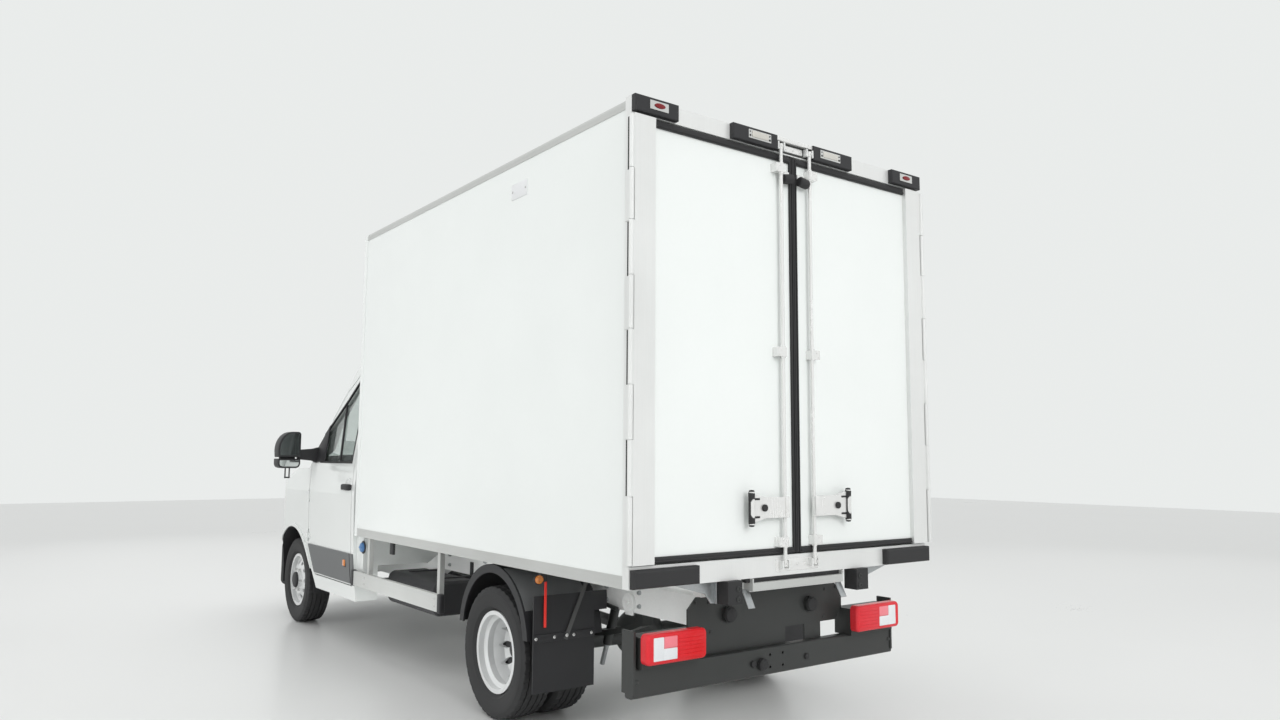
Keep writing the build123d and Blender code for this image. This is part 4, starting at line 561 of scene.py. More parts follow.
# Underrun beam and dock blocks: plugs, bolts and sockets, each as y, height, then radius and length
underrunGear = {
    "face": -2.788, "plug": (-2.766, 0.29, 0.641), "hangerX": -2.742,
    "hangerBolts": ((0.499, 0.712), (0.414, 0.706), (0.402, 0.566)),
    "dock": (-2.974, 0.43), "dockZ": (0.752, 0.8),
    "dockBolt": [(0, 0.013), (0.003, 0.013), (0.004, 0.009), (0.001, 0.008), (0.001, 0)],
    "endBolt": (0.882, 0.4), "sockets": ((0.106, 0.385, 0.03, 0.03), (0.164, 0.392, 0.017, 0.013),
        (-0.217, 0.385, 0.016, 0.012)),
}


def dressUnderrun():
    u = underrunGear
    plugs, heads = blanks(2)
    for side in (1, -1):
        domeHead(plugs, *onSide(side, u["plug"]), rearward, 0.038, 0.016)
        for reach, height in u["hangerBolts"]:
            domeHead(heads, (u["hangerX"], side * reach, height), rearward, 0.009)
        for height in u["dockZ"]:
            turned(heads, u["dockBolt"], (u["dock"][0], side * u["dock"][1], height), rearward, 18)
        domeHead(heads, (u["face"], side * u["endBolt"][0], u["endBolt"][1]), rearward, 0.011)
    for reach, height, radius, length in u["sockets"]:
        line = [(0, 0), (0, radius), (length * 0.7, radius), (length, radius * 0.7), (length, 0)]
        turned(plugs, line, (u["face"], reach, height), rearward, 20)
    finishPiece("platePlugs", plugs, "rubberBlack")
    finishPiece("plateBolts", heads, "blackSteel")
    print("underrun dressed")


dressGuards()
dressUnderrun()

# Small plate on the box side, tabs of the rear step, and a black strip above the step bar as painted shade
# under the box's bottom rail
boxSideGear = {
    "plate": ((-1.984, -1.814), (1.036, 1.0395), (2.812, 2.9)), "rivets": (-1.97, -1.828), "rivetY": 1.0392,
    "rivetZ": 2.856, "tab": (0.021, 0.097), "tabTop": (-2.908, 0.326, 0.784), "tabLean": (-0.484, 0, -0.875),
    "gussetX": -2.884,
    "gusset": ((0.497, 0.8355), (0.497, 0.728), (0.525, 0.73), (0.56, 0.776), (0.74, 0.826), (0.74, 0.8355)),
    "bracket": ((-2.9, -2.86), (0.497, 0.503), (0.728, 0.8355)),
    "shadeStrip": ((-2.934, -2.9), (-0.345, 0.345), (0.8155, 0.8358)),
    "shadeStripLip": ((-2.936, -2.932), (-0.345, 0.345), (0.819, 0.8245)),
}


def dressBoxSide():
    b = boxSideGear
    plates, heads, tabs, shadeStrip = blanks(4)
    half, length = b["tab"]
    outline = [(-half, 0), (half, 0), (half, length), (-half, length)]
    for side in (1, -1):
        softBox(plates, side, *b["plate"], 0.0015)
        for x in b["rivets"]:
            domeHead(heads, (x, side * b["rivetY"], b["rivetZ"]), (0, side, 0), 0.007)
        slab(tabs, outline, *onSide(side, b["tabTop"]), (0, -1, 0), b["tabLean"], 0.005, 0.001)
        slab(tabs, b["gusset"], (b["gussetX"], 0, 0), (0, side, 0), upward, 0.005, 0.001)
        softBox(tabs, side, *b["bracket"], 0.001, 1)
    # Black strip between the box's bottom rail and the step bar: painted shade in that gap
    softBox(shadeStrip, 1, *b["shadeStrip"], 0.002)
    softBox(shadeStrip, 1, *b["shadeStripLip"], 0.0015)
    finishPiece("sidePlate", plates, "plateWhite")
    finishPiece("sidePlateRivets", heads, "stainless")
    finishPiece("stepTabs", tabs, "galvanised")
    finishPiece("stepShadeStrip", shadeStrip, "rubberBlack")
    print("box side dressed")


dressBoxSide()

# Tyres: four grooves round the tread, cross cuts at the shoulders, ribs on the walls
tyreShape = {"halfWidth": 0.1025, "halfTread": 0.085, "groove": 0.009, "cut": 0.006, "around": 168}


def tyreMesh(bm, axleX, centreY):
    t = tyreShape
    half, tread = t["halfWidth"], t["halfTread"]
    across = [
        (-0.066, 0.2195, 0), (-0.074, 0.226, 0), (-0.0925, 0.242, 0), (-0.0925, 0.2455, 1),
        (-0.0985, 0.262, 1), (-0.0985, 0.266, 0), (-half, 0.279, 0), (-0.1, 0.3, 0), (-0.1012, 0.304, 1),
        (-0.098, 0.322, 1), (-0.0955, 0.325, 0), (-0.0915, 0.337, 3), (-tread, 0.3475, 2),
    ]
    lands = (-0.058, -0.05, -0.024, -0.016, 0.016, 0.024, 0.05, 0.058)
    crown = []
    for step, land in enumerate(lands):
        height = wheelRadius - 0.0045 * (land / tread) ** 2
        low = height - t["groove"]
        edge = (land, height, 2 if abs(land) > 0.055 else 4)
        crown += [edge, (land + 0.0015, low, 0)] if step % 2 == 0 else [(land - 0.0015, low, 0), edge]
    line = across + crown + [(-a, b, c) for a, b, c in reversed(across)]
    rings = []
    for k in range(t["around"]):
        turn = 2 * pi * k / t["around"]
        ring = []
        for along, radius, kind in line:
            if kind == 2 and k % 4 == 0:
                radius -= t["cut"]
            elif kind == 3 and k % 4 == 0:
                radius -= t["cut"] * 0.6
            elif kind == 4 and k % 6 == (0 if along > 0 else 3):
                radius -= t["cut"] * 0.5
            ring.append(bm.verts.new((axleX + radius * cos(turn), centreY + along,
                wheelRadius + radius * sin(turn))))
        rings.append(ring)
    for near, far in zip(rings, rings[1:] + rings[:1]):
        bandFaces(bm, near, far)


# Each axle: tyres, then hub cap, a dark ring behind the disc as painted shade in its vent holes, and nuts by
# their distance from the middle
wheelGear = {
    "front": {
        "body": "front_wheel_", "tyre": "frontTyre", "node": "front_tyre_", "x": frontAxleX,
        "tyreY": (0.876,), "capY": 0.9695,
        "capLook": "blackPlastic", "cap": [(0, 0.066), (0.006, 0.066), (0.016, 0.06), (0.022, 0.045),
            (0.024, 0)],
        "ring": [(0.9115, 0.161), (0.937, 0.12), (0.9355, 0.119), (0.9095, 0.1605), (0.9115, 0.161)],
        "nutY": 0.9485, "nutCircle": 0.092, "nutLength": 0.024,
    },
    "rear": {
        "body": "rear_wheels_", "tyre": "rearTyres", "node": "rear_tyres_", "x": rearAxleX,
        "tyreY": (0.900, 0.660), "capY": 0.7815,
        "capLook": "castIron", "cap": [
            (0.0165, 0), (0.0165, 0.06), (0, 0.06), (0, 0.082), (0.05, 0.08), (0.062, 0.074), (0.064, 0.05),
            (0.07, 0.046), (0.084, 0.042), (0.088, 0.034), (0.088, 0),
        ],
        "ring": [(0.8225, 0.161), (0.7835, 0.1265), (0.7815, 0.1275), (0.8205, 0.162), (0.8225, 0.161)],
        "nutY": 0.7805, "nutCircle": 0.101, "nutLength": 0.028,
    },
}


def dressWheels():
    for hand, word, side in hands:
        for w in wheelGear.values():
            bm = bmesh.new()
            for reach in w["tyreY"]:
                tyreMesh(bm, w["x"], side * reach)
            finishPiece(w["tyre"] + hand, bm, "tyreRubber", w["body"] + word, [w["node"] + word], 28)
        for name, w in wheelGear.items():
            caps, nuts = blanks(2)
            turned(caps, w["cap"], (w["x"], side * w["capY"], wheelRadius), (0, side, 0), 36)
            # Dark conical ring just behind the wheel disc: painted shade, so the vent holes read dark
            turned(caps, w["ring"], (w["x"], 0, wheelRadius), (0, side, 0), 48)
            length = w["nutLength"]
            nut = [
                (0, 0.0145), (0.004, 0.0145), (0.006, 0.0115), (length - 0.004, 0.0115), (length, 0.008),
                (length, 0),
            ]
            for k in range(6):
                across, up = w["nutCircle"] * cos(pi * k / 3), w["nutCircle"] * sin(pi * k / 3)
                turned(nuts, nut, (w["x"] + across, side * w["nutY"], wheelRadius + up), (0, side, 0), 6)
            finishPiece(name + "HubCap" + hand, caps, w["capLook"], w["body"] + word)
            finishPiece(name + "Nuts" + hand, nuts, "stainless", w["body"] + word)
    print("wheels dressed")


dressWheels()

# Cab sides: window trim, divider, door handle, marker, pillar panel, mirror stay
cabSide = {
    "window": ((1.400, 1.364), (0.664, 1.364), (0.664, 1.978), (0.810, 1.978), (0.990, 1.848),
        (1.400, 1.584)),
    "trim": (0.012, 0.003), "divider": ((0.966, 1.366), (1.046, 1.808)), "dividerHalf": 0.01,
    "grip": ((0.612, 0.762), (1.012, 1.050), (1.153, 1.2)),
    "gripRoot": ((0.608, 0.662), (1.004, 1.034), (1.157, 1.196)), "dish": (0.684, 1.176),
    "dishLine": [(0, 0.07), (0.0035, 0.067), (0.004, 0.062), (0.002, 0.056), (-0.001, 0.05), (-0.001, 0)],
    "pillar": (0.543, 0.599, 0.474, 0.692), "marker": (0.716, 1.0125, 0.616, 0.024), "stayX": 1.500,
    "stayY": (1.218, 1.25), "stayZ": (1.233, 1.318),
    "stayFoot": ((1.500, 1.213, 1.235), (1.500, 1.255, 1.235)),
}
sideBreaks = ((0.350, 0.982), (0.400, 0.985), (0.700, 1.010), (1.120, 1.020), (1.330, 1.005), (2.000, 0.905))


def sideY(height):
    for (lowZ, lowY), (highZ, highY) in zip(sideBreaks, sideBreaks[1:]):
        if height <= highZ:
            return lowY + (highY - lowY) * (height - lowZ) / (highZ - lowZ)
    return sideBreaks[-1][1]


# An outline moved outward by an amount, or inward if that is negative
def grow(outline, amount):
    pairs = list(zip(outline, outline[1:] + outline[:1]))
    way = 1 if sum(ax * by - bx * ay for (ax, ay), (bx, by) in pairs) > 0 else -1
    lines = []
    for (ax, ay), (bx, by) in pairs:
        along = Vector((bx - ax, by - ay)).normalized()
        out = Vector((along.y, -along.x)) * way
        lines.append((Vector((ax, ay)) + out * amount, along))
    grown = []
    for (p, d), (q, e) in zip(lines[-1:] + lines[:-1], lines):
        reach = ((q.x - p.x) * e.y - (q.y - p.y) * e.x) / (d.x * e.y - d.y * e.x)
        grown.append(tuple(p + d * reach))
    return grown


def trimRing(bm, outline, outward, inward, side, low, high):
    rows = []
    for ring, depth in ((grow(outline, outward), low), (grow(outline, outward - 0.002), high),
        (grow(outline, -inward), high), (grow(outline, -inward - 0.001), low)):
        rows.append([bm.verts.new((x, side * (sideY(z) + depth), z)) for x, z in ring])
    for near, far in zip(rows, rows[1:] + rows[:1]):
        bandFaces(bm, near, far)


def roundRect(width, height, radius, steps=6):
    corners = ((1, 1, 0), (-1, 1, 90), (-1, -1, 180), (1, -1, 270))
    points = []
    for right, up, start in corners:
        for k in range(steps + 1):
            turn = radians(start + 90 * k / steps)
            points.append((right * (width / 2 - radius) + radius * cos(turn),
                up * (height / 2 - radius) + radius * sin(turn)))
    return points


def dressCabSides():
    c = cabSide
    (footX, footZ), (headX, headZ) = c["divider"]
    corners = ((footX, footZ, -1), (footX, footZ, 1), (headX, headZ, 1), (headX, headZ, -1))
    half = c["dividerHalf"]
    x, y, z, reach = c["marker"]
    rear, front, low, high = c["pillar"]
    lean = (sideY(high) - sideY(low)) / (high - low)
    panel = [(0, 0), (front - rear, 0), (front - rear, high - low), (0, high - low)]
    for hand, word, side in hands:
        leaf = "cab_leaf_" + word
        trim, grip, dish, marker, pillar, stay = blanks(6)
        trimRing(trim, c["window"], *c["trim"], side, -0.012, 0.003)
        rows = []
        for depth, wide in ((-0.021, half), (-0.009, half), (-0.007, half - 0.003)):
            rows.append([trim.verts.new((a + way * wide, side * (sideY(b) + depth), b))
                for a, b, way in corners])
        for near, far in zip(rows, rows[1:]):
            bandFaces(trim, near, far)
        trim.faces.new(rows[0])
        trim.faces.new(rows[-1])
        softBox(grip, side, *c["grip"], 0.014, 4)
        softBox(grip, side, *c["gripRoot"], 0.012, 4)
        dishX, dishZ = c["dish"]
        turned(dish, c["dishLine"], (dishX, side * (sideY(dishZ) - 0.002), dishZ), (0, side, 0), 40)
        softBox(marker, side, about(x, reach), (y - 0.004, y + 0.008), about(z, reach), 0.005, 3)
        place = (front if side > 0 else rear, side * (sideY(low) - 0.004), low)
        slab(pillar, panel, place, (-side, 0, 0), (0, side * lean, 1), 0.012, 0.002)
        softBox(stay, side, about(x, reach + 0.006), (y - 0.006, y + 0.002), about(z, reach + 0.006))
        for stayY in c["stayY"]:
            rodLine(stay, [(c["stayX"], side * stayY, height) for height in c["stayZ"]], 0.0055, 8)
        rodLine(stay, onSide(side, *c["stayFoot"]), 0.006, 8)
        finishPiece("windowTrim" + hand, trim, "rubberBlack", leaf)
        finishPiece("doorGrip" + hand, grip, "blackPlastic", leaf)
        finishPiece("gripDish" + hand, dish, "cabPaint", leaf)
        finishPiece("sideMarker" + hand, marker, "amberLens", leaf)
        finishPiece("pillarCladding" + hand, pillar, "greyPlastic")
        finishPiece("mirrorStay" + hand, stay, "blackPlastic", leaf)
    print("cab sides dressed")


dressCabSides()

# Mirrors: two heads on a flared arm, the upper one well rounded at its outer top
mirrorShape = {
    "x": (1.4525, 1.579), "y": (1.146, 1.322), "split": (1.386, 1.398), "head": 1.603, "foot": 1.310,
    "outerRound": (0.11, 0.148), "rim": 0.013,
    "arm": ((1.004, 1.350), (0.988, 1.482), (1.040, 1.468), (1.160, 1.458), (1.160, 1.382), (1.040, 1.370)),
    "armX": (1.474, 1.526), "neckX": 1.500,
    "sail": ((1.280, 1.370), (1.560, 1.354), (1.522, 1.460), (1.300, 1.656)),
}


def dressMirrors():
    m = mirrorShape
    (rear, front), (inner, outer), (under, over) = m["x"], m["y"], m["split"]
    head, foot, (wide, tall) = m["head"], m["foot"], m["outerRound"]
    turns = [radians(9 * k) for k in range(11)]
    upper = [(inner, over), (outer - 0.004, over)]
    upper += [(outer - wide + wide * cos(turn), head - tall + tall * sin(turn)) for turn in turns]
    upper += [(inner + 0.02, head), (inner + 0.006, head - 0.006), (inner, head - 0.02)]
    lower = [(inner, under), (outer, under), (outer, foot + 0.032), (outer - 0.01, foot + 0.01),
        (outer - 0.032, foot)]
    lower += [(inner + 0.03, foot), (inner + 0.009, foot + 0.01), (inner, foot + 0.032)]
    lean = (sideY(1.6) - sideY(1.4)) / 0.2
    low = m["sail"][1][1]
    for hand, word, side in hands:
        leaf = "cab_leaf_" + word
        bm = bmesh.new()
        for outline, span, edge in ((upper, m["x"], 0.006), (lower, m["x"], 0.006),
                (m["arm"], m["armX"], 0.008)):
            start = (span[0 if side > 0 else 1], 0, 0)
            slab(bm, outline, start, (0, side, 0), upward, span[1] - span[0], edge, 3)
        softBox(bm, side, (m["neckX"], front - 0.03), (inner + 0.03, outer - 0.03),
            (under - 0.01, over + 0.01))
        sail = [(-side * x, z - low) for x, z in m["sail"]]
        slab(bm, sail, (0, side * (sideY(low) + 0.0005), low), (-side, 0, 0), (0, side * lean, 1), 0.0095,
            0.002)
        finishPiece("mirrorBody" + hand, bm, "blackPlastic", leaf, ["mirror_" + word])
        # The upper pane's near-black colour is a painted dark reflection
        for name, outline, look in (("upperPane", upper, "mirrorDarkReflection"), ("lowerPane", lower, "mirrorGlass")):
            bm = bmesh.new()
            pane = [(-side * a, b) for a, b in grow(outline, -m["rim"])]
            slab(bm, pane, (rear + 0.001, 0, 0), (0, -1, 0), upward, 0.003, 0.0006, 1)
            finishPiece(name + hand, bm, look, leaf)
    print("mirrors dressed")


dressMirrors()

# Front: arch liners, wipers, cowl, headlamp optics, radiator, bumper lamps
cabFront = {
    "archRadius": 0.4525, "liner": (0.524, 0.962), "screen": (1.950, 1.350, 1.0594, 1.680),
    "cowlFront": 2.106, "cowlHalf": 0.775, "cowlRise": (1.412, 1.39, 1.37, 1.35, 1.33),
    "cowlSkin": (2.080, 1.302, 0.0182, 0.289),
    "wiperHub": [(-0.01, 0), (-0.01, 0.02), (0.016, 0.018), (0.022, 0.01), (0.022, 0)],
    "wipers": ((0.52, -0.16, 1.372, 1.46, 0.34), (-0.1, -0.72, 1.372, 1.452, 0.3)),
}
planPoints = ((2.200, 1.040), (2.353, 0.998), (2.499, 0.933), (2.633, 0.847), (2.752, 0.742), (2.855, 0.620))


def planY(x):
    if x <= planPoints[0][0]:
        return planPoints[0][1]
    for (nearX, nearY), (farX, farY) in zip(planPoints, planPoints[1:]):
        if x <= farX:
            return nearY + (farY - nearY) * (x - nearX) / (farX - nearX)
    return planPoints[-1][1]


def screenX(reach, height):
    base, foot, slope, radius = cabFront["screen"]
    return base - (radius - (radius * radius - reach * reach) ** 0.5) - (height - foot) * slope


def dressArches():
    radius = cabFront["archRadius"]
    inner, outer = cabFront["liner"]
    bm = bmesh.new()
    turns = [radians(-8 + 196 * k / 56) for k in range(57)]
    for side in (1, -1):
        layers = []
        for depth in (0.0, 0.0035):
            rows = []
            for turn in turns:
                x, z = frontAxleX + (radius - depth) * cos(turn), wheelRadius + (radius - depth) * sin(turn)
                edge = min(planY(x), sideY(max(z, 0.36))) + 0.004 if turn < radians(136) else outer
                rows.append([bm.verts.new((x, side * (inner + (edge - inner) * step / 3), z))
                    for step in range(4)])
            layers.append(rows)
        sheet(bm, *layers)
        arc = [(radius * 0.992 * cos(turn), radius * 0.992 * sin(turn)) for turn in turns]
        wall = side * (inner + (0.004 if side > 0 else 0.001))
        slab(bm, arc, (frontAxleX, wall, wheelRadius), (1, 0, 0), upward, 0.003)
    finishPiece("archLiners", bm, "blackPlastic")
    print("arches lined")


# Wipers from pivot, tip, the two heights and half the blade, then the louvred cowl
def dressScreen():
    c = cabFront
    bm = bmesh.new()
    for pivot, tip, low, high, half in c["wipers"]:
        arm, blade = [], []
        for k in range(9):
            reach, height = pivot + (tip - pivot) * k / 8, low + (high - low) * k / 8
            arm.append((screenX(reach, height) + 0.018, reach, height + 0.016))
        for k in range(13):
            reach, height = max(-0.78, min(0.78, tip + half - 2 * half * k / 12)), high + 0.004 * k / 12
            blade.append((screenX(reach, height) + 0.008, reach, height + 0.008))
        rodLine(bm, arm, 0.006, 8)
        rodLine(bm, blade, 0.005, 8)
        turned(bm, c["wiperHub"], (screenX(pivot, low) + 0.02, pivot, low + 0.005), (0.6, 0, 0.8), 18)
    finishPiece("wipers", bm, "blackPlastic")
    bm = bmesh.new()
    front, half, (breakX, breakZ, rise, fall) = c["cowlFront"], c["cowlHalf"], c["cowlSkin"]
    count = 48
    rows = []
    for k in range(count + 1):
        reach = -half + 2 * half * k / count
        rear = screenX(reach, 1.306) + 0.012
        line = [(screenX(reach, height) + 0.003, reach, height + 0.003) for height in c["cowlRise"]]
        for step in range(7):
            x = rear + (front - rear) * step / 6
            skin = breakZ + (breakX - x) * (rise if x < breakX else fall)
            louvre = 0.004 if 1 <= step <= 5 and k % 4 < 2 else 0.0
            line.append((x, reach, skin + 0.003 + louvre))
        rows.append(line)
    top = [[bm.verts.new(point) for point in line] for line in rows]
    foot = [[bm.verts.new((x, y, z - 0.005)) for x, y, z in line] for line in rows]
    sheet(bm, top, foot)
    finishPiece("cowlPanel", bm, "blackPlastic", crease=20)
    print("screen and cowl dressed")


def noseSkin(reach, height, side):
    near, far = next((near, far) for near, far in zip(planPoints, planPoints[1:])
        if far[1] <= reach <= near[1])
    x = far[0] + (near[0] - far[0]) * (reach - far[1]) / (near[1] - far[1])
    right = Vector((near[0] - far[0], side * (near[1] - far[1]), 0)).normalized() * side
    return Vector((x, side * reach, height)), right.cross(Vector(upward)), right


# Lamps as y, height and radius on the nose; fog lamps and radiator by their own places
noseGear = {
    "lamps": ((0.665, 0.872, 0.052), (0.775, 0.868, 0.046)), "turnY": 0.645, "turnPitch": 0.034,
    "turnZ": 0.956, "fog": (2.886, 0.600, 0.440),
    "fogRim": [(-0.004, 0), (-0.004, 0.046), (0.004, 0.0455), (0.006, 0.04), (0.002, 0.038), (0.002, 0)],
    "fogLens": [(0.003, 0), (0.003, 0.036), (0.009, 0.033), (0.013, 0.018), (0.014, 0)],
    "core": ((2.700, 2.722), (-0.430, 0.430), (0.640, 0.985)), "fins": 72, "finX": (2.721, 2.730),
    "finHalf": 0.42, "finZ": (0.652, 0.972),
}


def dressNose():
    n = noseGear
    optics, dark, amber, core = blanks(4)
    for side in (1, -1):
        for reach, height, r in n["lamps"]:
            place, out, right = noseSkin(reach, height, side)
            bezel = [(0.001, 0), (0.001, r + 0.01), (0.005, r + 0.008), (0.006, r), (0.004, r), (0.004, 0)]
            turned(dark, bezel, place, out, 32)
            turned(optics, [(0.003, 0), (0.003, r * 0.86), (0.007, r * 0.8), (0.01, r * 0.45), (0.011, 0)],
                place, out, 32)
        for step in range(5):
            place, out, right = noseSkin(n["turnY"] + step * n["turnPitch"], n["turnZ"], side)
            slab(amber, roundRect(0.04, 0.018, 0.005), place - out * 0.002, right, upward, 0.006, 0.001, 1)
        for bm, line in ((dark, n["fogRim"]), (optics, n["fogLens"])):
            turned(bm, line, *onSide(side, n["fog"]), (1, 0, 0), 28)
    softBox(core, 1, *n["core"], 0.004)
    for k in range(n["fins"]):
        reach = n["finHalf"] * (2 * k / (n["fins"] - 1) - 1)
        softBox(core, 1, n["finX"], about(reach, 0.0015), n["finZ"], 0.0006, 1)
    finishPiece("lampOptics", optics, "lampChrome")
    finishPiece("lampBezels", dark, "blackPlastic")
    finishPiece("turnLamps", amber, "amberLens")
    finishPiece("radiatorCore", core, "castIron")
    print("nose dressed")


dressArches()
dressScreen()
dressNose()

# Seats: crowned pads with sewn channels, headrests on posts, base and rails
seatPads = {
    "driver": (0.470, 0.500), "bench": (-0.675, 0.410), "middle": (-0.265, 0.410), "baseX": (0.872, 1.232),
    "baseZ": 0.916, "backFoot": (0.884, 1.03), "backHead": (0.790, 1.68), "rest": (0.720, 1.811),
    "restSize": (0.245, 0.162), "grid": (22, 18), "postX": 0.719, "postY": 0.062, "postZ": (1.66, 1.75),
    "boxX": (0.768, 1.165), "boxZ": (0.651, 0.9), "railX": (0.79, 1.18), "railZ": (0.86, 0.93),
    "channels": ((-0.52, True), (0.52, True), (-0.3, False), (0.2, False)),
}
seats = (("driverSeat", "driver_seat", ("driver",)),
    ("passengerBench", "passenger_bench", ("bench", "middle")))


def cushion(bm, origin, right, up, size, crown, channels, grid=(30, 26), groove=0.008):
    origin, right, up = Vector(origin), Vector(right).normalized(), Vector(up).normalized()
    out = right.cross(up).normalized()
    width, height, depth = size
    cols, rows = grid
    top = []
    for j in range(rows + 1):
        v = -1 + 2 * j / rows
        line = []
        for i in range(cols + 1):
            u = -1 + 2 * i / cols
            curb = max(abs(u), abs(v), 1e-6) / max((abs(u) ** 6 + abs(v) ** 6) ** (1 / 6), 1e-6)
            across = u * curb * width / 2 * (1 - 0.022 * (1 - v * v))
            along = v * curb * height / 2 * (1 - 0.022 * (1 - u * u))
            swell = ((1 - abs(u) ** 7) * (1 - abs(v) ** 7)) ** 0.45
            lift = depth * swell + crown * (1 - u * u) * (1 - v * v)
            for place, lengthwise in channels:
                gap = (u if lengthwise else v) - place
                lift -= groove * swell * (2.718 ** (-(gap / 0.035) ** 2))
            line.append(bm.verts.new(origin + right * across + up * along + out * lift))
        top.append(line)
    for j in range(rows):
        for i in range(cols):
            bm.faces.new((top[j][i], top[j][i + 1], top[j + 1][i + 1], top[j + 1][i]))
    rim = top[0][:-1] + [line[-1] for line in top[:-1]] + top[-1][:0:-1] + [line[0] for line in top[:0:-1]]
    bm.faces.new(rim[::-1])


def dressSeats():
    p = seatPads
    rearX, frontX = p["baseX"]
    (footX, footZ), (headX, headZ), (restX, restZ) = p["backFoot"], p["backHead"], p["rest"]
    restWidth, restHeight = p["restSize"]
    for name, node, places in seats:
        pads, trim = blanks(2)
        low = min(p[key][0] - p[key][1] / 2 for key in places)
        high = max(p[key][0] + p[key][1] / 2 for key in places)
        for key in places:
            middle, width = p[key][0], p[key][1] - 0.008
            base = ((rearX + frontX) / 2, middle, p["baseZ"])
            cushion(pads, base, (0, -1, 0), (0.9965, 0, 0.083), (width, frontX - rearX, 0.075), 0.02,
                p["channels"])
            up = Vector((headX - footX, 0, headZ - footZ))
            back = Vector(((footX + headX) / 2 - 0.08, middle, (footZ + headZ) / 2 - 0.01))
            cushion(pads, back, (0, 1, 0), up, (width, up.length, 0.068), 0.022, p["channels"])
            cushion(pads, back, (0, -1, 0), up, (width, up.length, 0.03), 0.006, ())
            rest, seam = (restX, middle, restZ), ((0.0, False),)
            cushion(pads, rest, (0, 1, 0), upward, (restWidth, restHeight, 0.036), 0.012, seam, p["grid"],
                0.004)
            cushion(pads, rest, (0, -1, 0), upward, (restWidth, restHeight, 0.032), 0.006, (), p["grid"])
            for reach in about(middle, p["postY"]):
                rodLine(trim, [(p["postX"], reach, height) for height in p["postZ"]], 0.007, 10)
        softBox(trim, 1, p["boxX"], (low + 0.02, high - 0.02), p["boxZ"], 0.02, 3)
        for reach in (low + 0.012, high - 0.012):
            softBox(trim, 1, p["railX"], about(reach, 0.011), p["railZ"], 0.008, 2)
        padPiece = finishPiece(name + "Pads", pads, "seatCloth", "truck", [node], 60)
        finishPiece(name + "Base", trim, "blackPlastic")
    print("seats dressed")


dressSeats()

# Cab inside: instruments, screen, vents, knobs and wheel pad
dashGear = {
    "hood": ((1.478, 1.66), (0.30, 0.64), (1.296, 1.372)),
    "dials": ((1.474, 1.482), (0.33, 0.61), (1.306, 1.356)),
    "stack": ((1.474, 1.5), (-0.14, 0.14), (1.12, 1.29)),
    "screen": ((1.470, 1.478), (-0.12, 0.12), (1.16, 1.28)),
    "end": ((1.4, 1.56), (0.69, 0.815), (1.24, 1.42)), "vents": (-0.78, -0.24, 0.22, 0.8), "ventX": 1.489,
    "ventZ": 1.215,
    "ventLine": [(0, 0), (0, 0.046), (0.008, 0.046), (0.012, 0.04), (0.004, 0.036), (0.004, 0)],
    "slatX": (1.479, 1.484), "slatZ": 1.192, "slatPitch": 0.014, "knobs": (-0.06, 0.0, 0.06), "knobX": 1.474,
    "knobZ": 1.138, "knobLine": [(0, 0.02), (0.012, 0.018), (0.014, 0.01), (0.014, 0)],
    "wheel": (1.380, 0.470, 1.250), "wheelLean": 32,
    "padLine": [(0, 0), (0, 0.082), (0.02, 0.08), (0.034, 0.066), (0.04, 0.03), (0.04, 0)],
}


def dressDash():
    d = dashGear
    dark, glass, pale, pad = blanks(4)
    softBox(dark, 1, *d["hood"], 0.03, 4)
    softBox(glass, 1, *d["dials"])
    softBox(dark, 1, *d["stack"], 0.01, 3)
    softBox(glass, 1, *d["screen"])
    for side in (1, -1):
        softBox(dark, side, *d["end"], 0.035, 4)
    for reach in d["vents"]:
        turned(dark, d["ventLine"], (d["ventX"], reach, d["ventZ"]), rearward, 26)
        for k in range(4):
            low = d["slatZ"] + k * d["slatPitch"]
            softBox(pale, 1, d["slatX"], about(reach, 0.033), (low, low + 0.004), 0.001, 1)
    for reach in d["knobs"]:
        turned(pale, d["knobLine"], (d["knobX"], reach, d["knobZ"]), rearward, 20)
    lean = radians(d["wheelLean"])
    away = Vector((-cos(lean), 0, sin(lean)))
    turned(pad, d["padLine"], Vector(d["wheel"]) + away * 0.006, away, 28)
    finishPiece("dashParts", dark, "blackPlastic")
    finishPiece("dashScreens", glass, "screenBlack")
    finishPiece("dashKnobs", pale, "greyPlastic")
    finishPiece("wheelPad", pad, "blackPlastic", "steering")
    print("dash dressed")


dressDash()

# Load space: floor coat, kick rails, lashing tracks, ceiling lamps, evaporator fans
loadSpace = {
    "x": (-2.888, 0.390), "half": 0.976, "floor": 0.926, "ceiling": 2.980, "kick": 0.24,
    "tracks": (1.45, 2.05), "ribs": 32, "slots": 40, "lampX": (-2.2, -1.0), "fanX": 0.202,
    "fanY": (-0.38, 0.0, 0.38), "fanDrop": 0.19, "blades": 5, "rings": (0.04, 0.07, 0.1, 0.126),
    "blade": ((0.02, -0.3), (0.118, -0.42), (0.118, 0.12), (0.02, 0.3)),
    "hub": [(0.01, 0), (0.01, 0.03), (0.038, 0.03), (0.038, 0)],
}


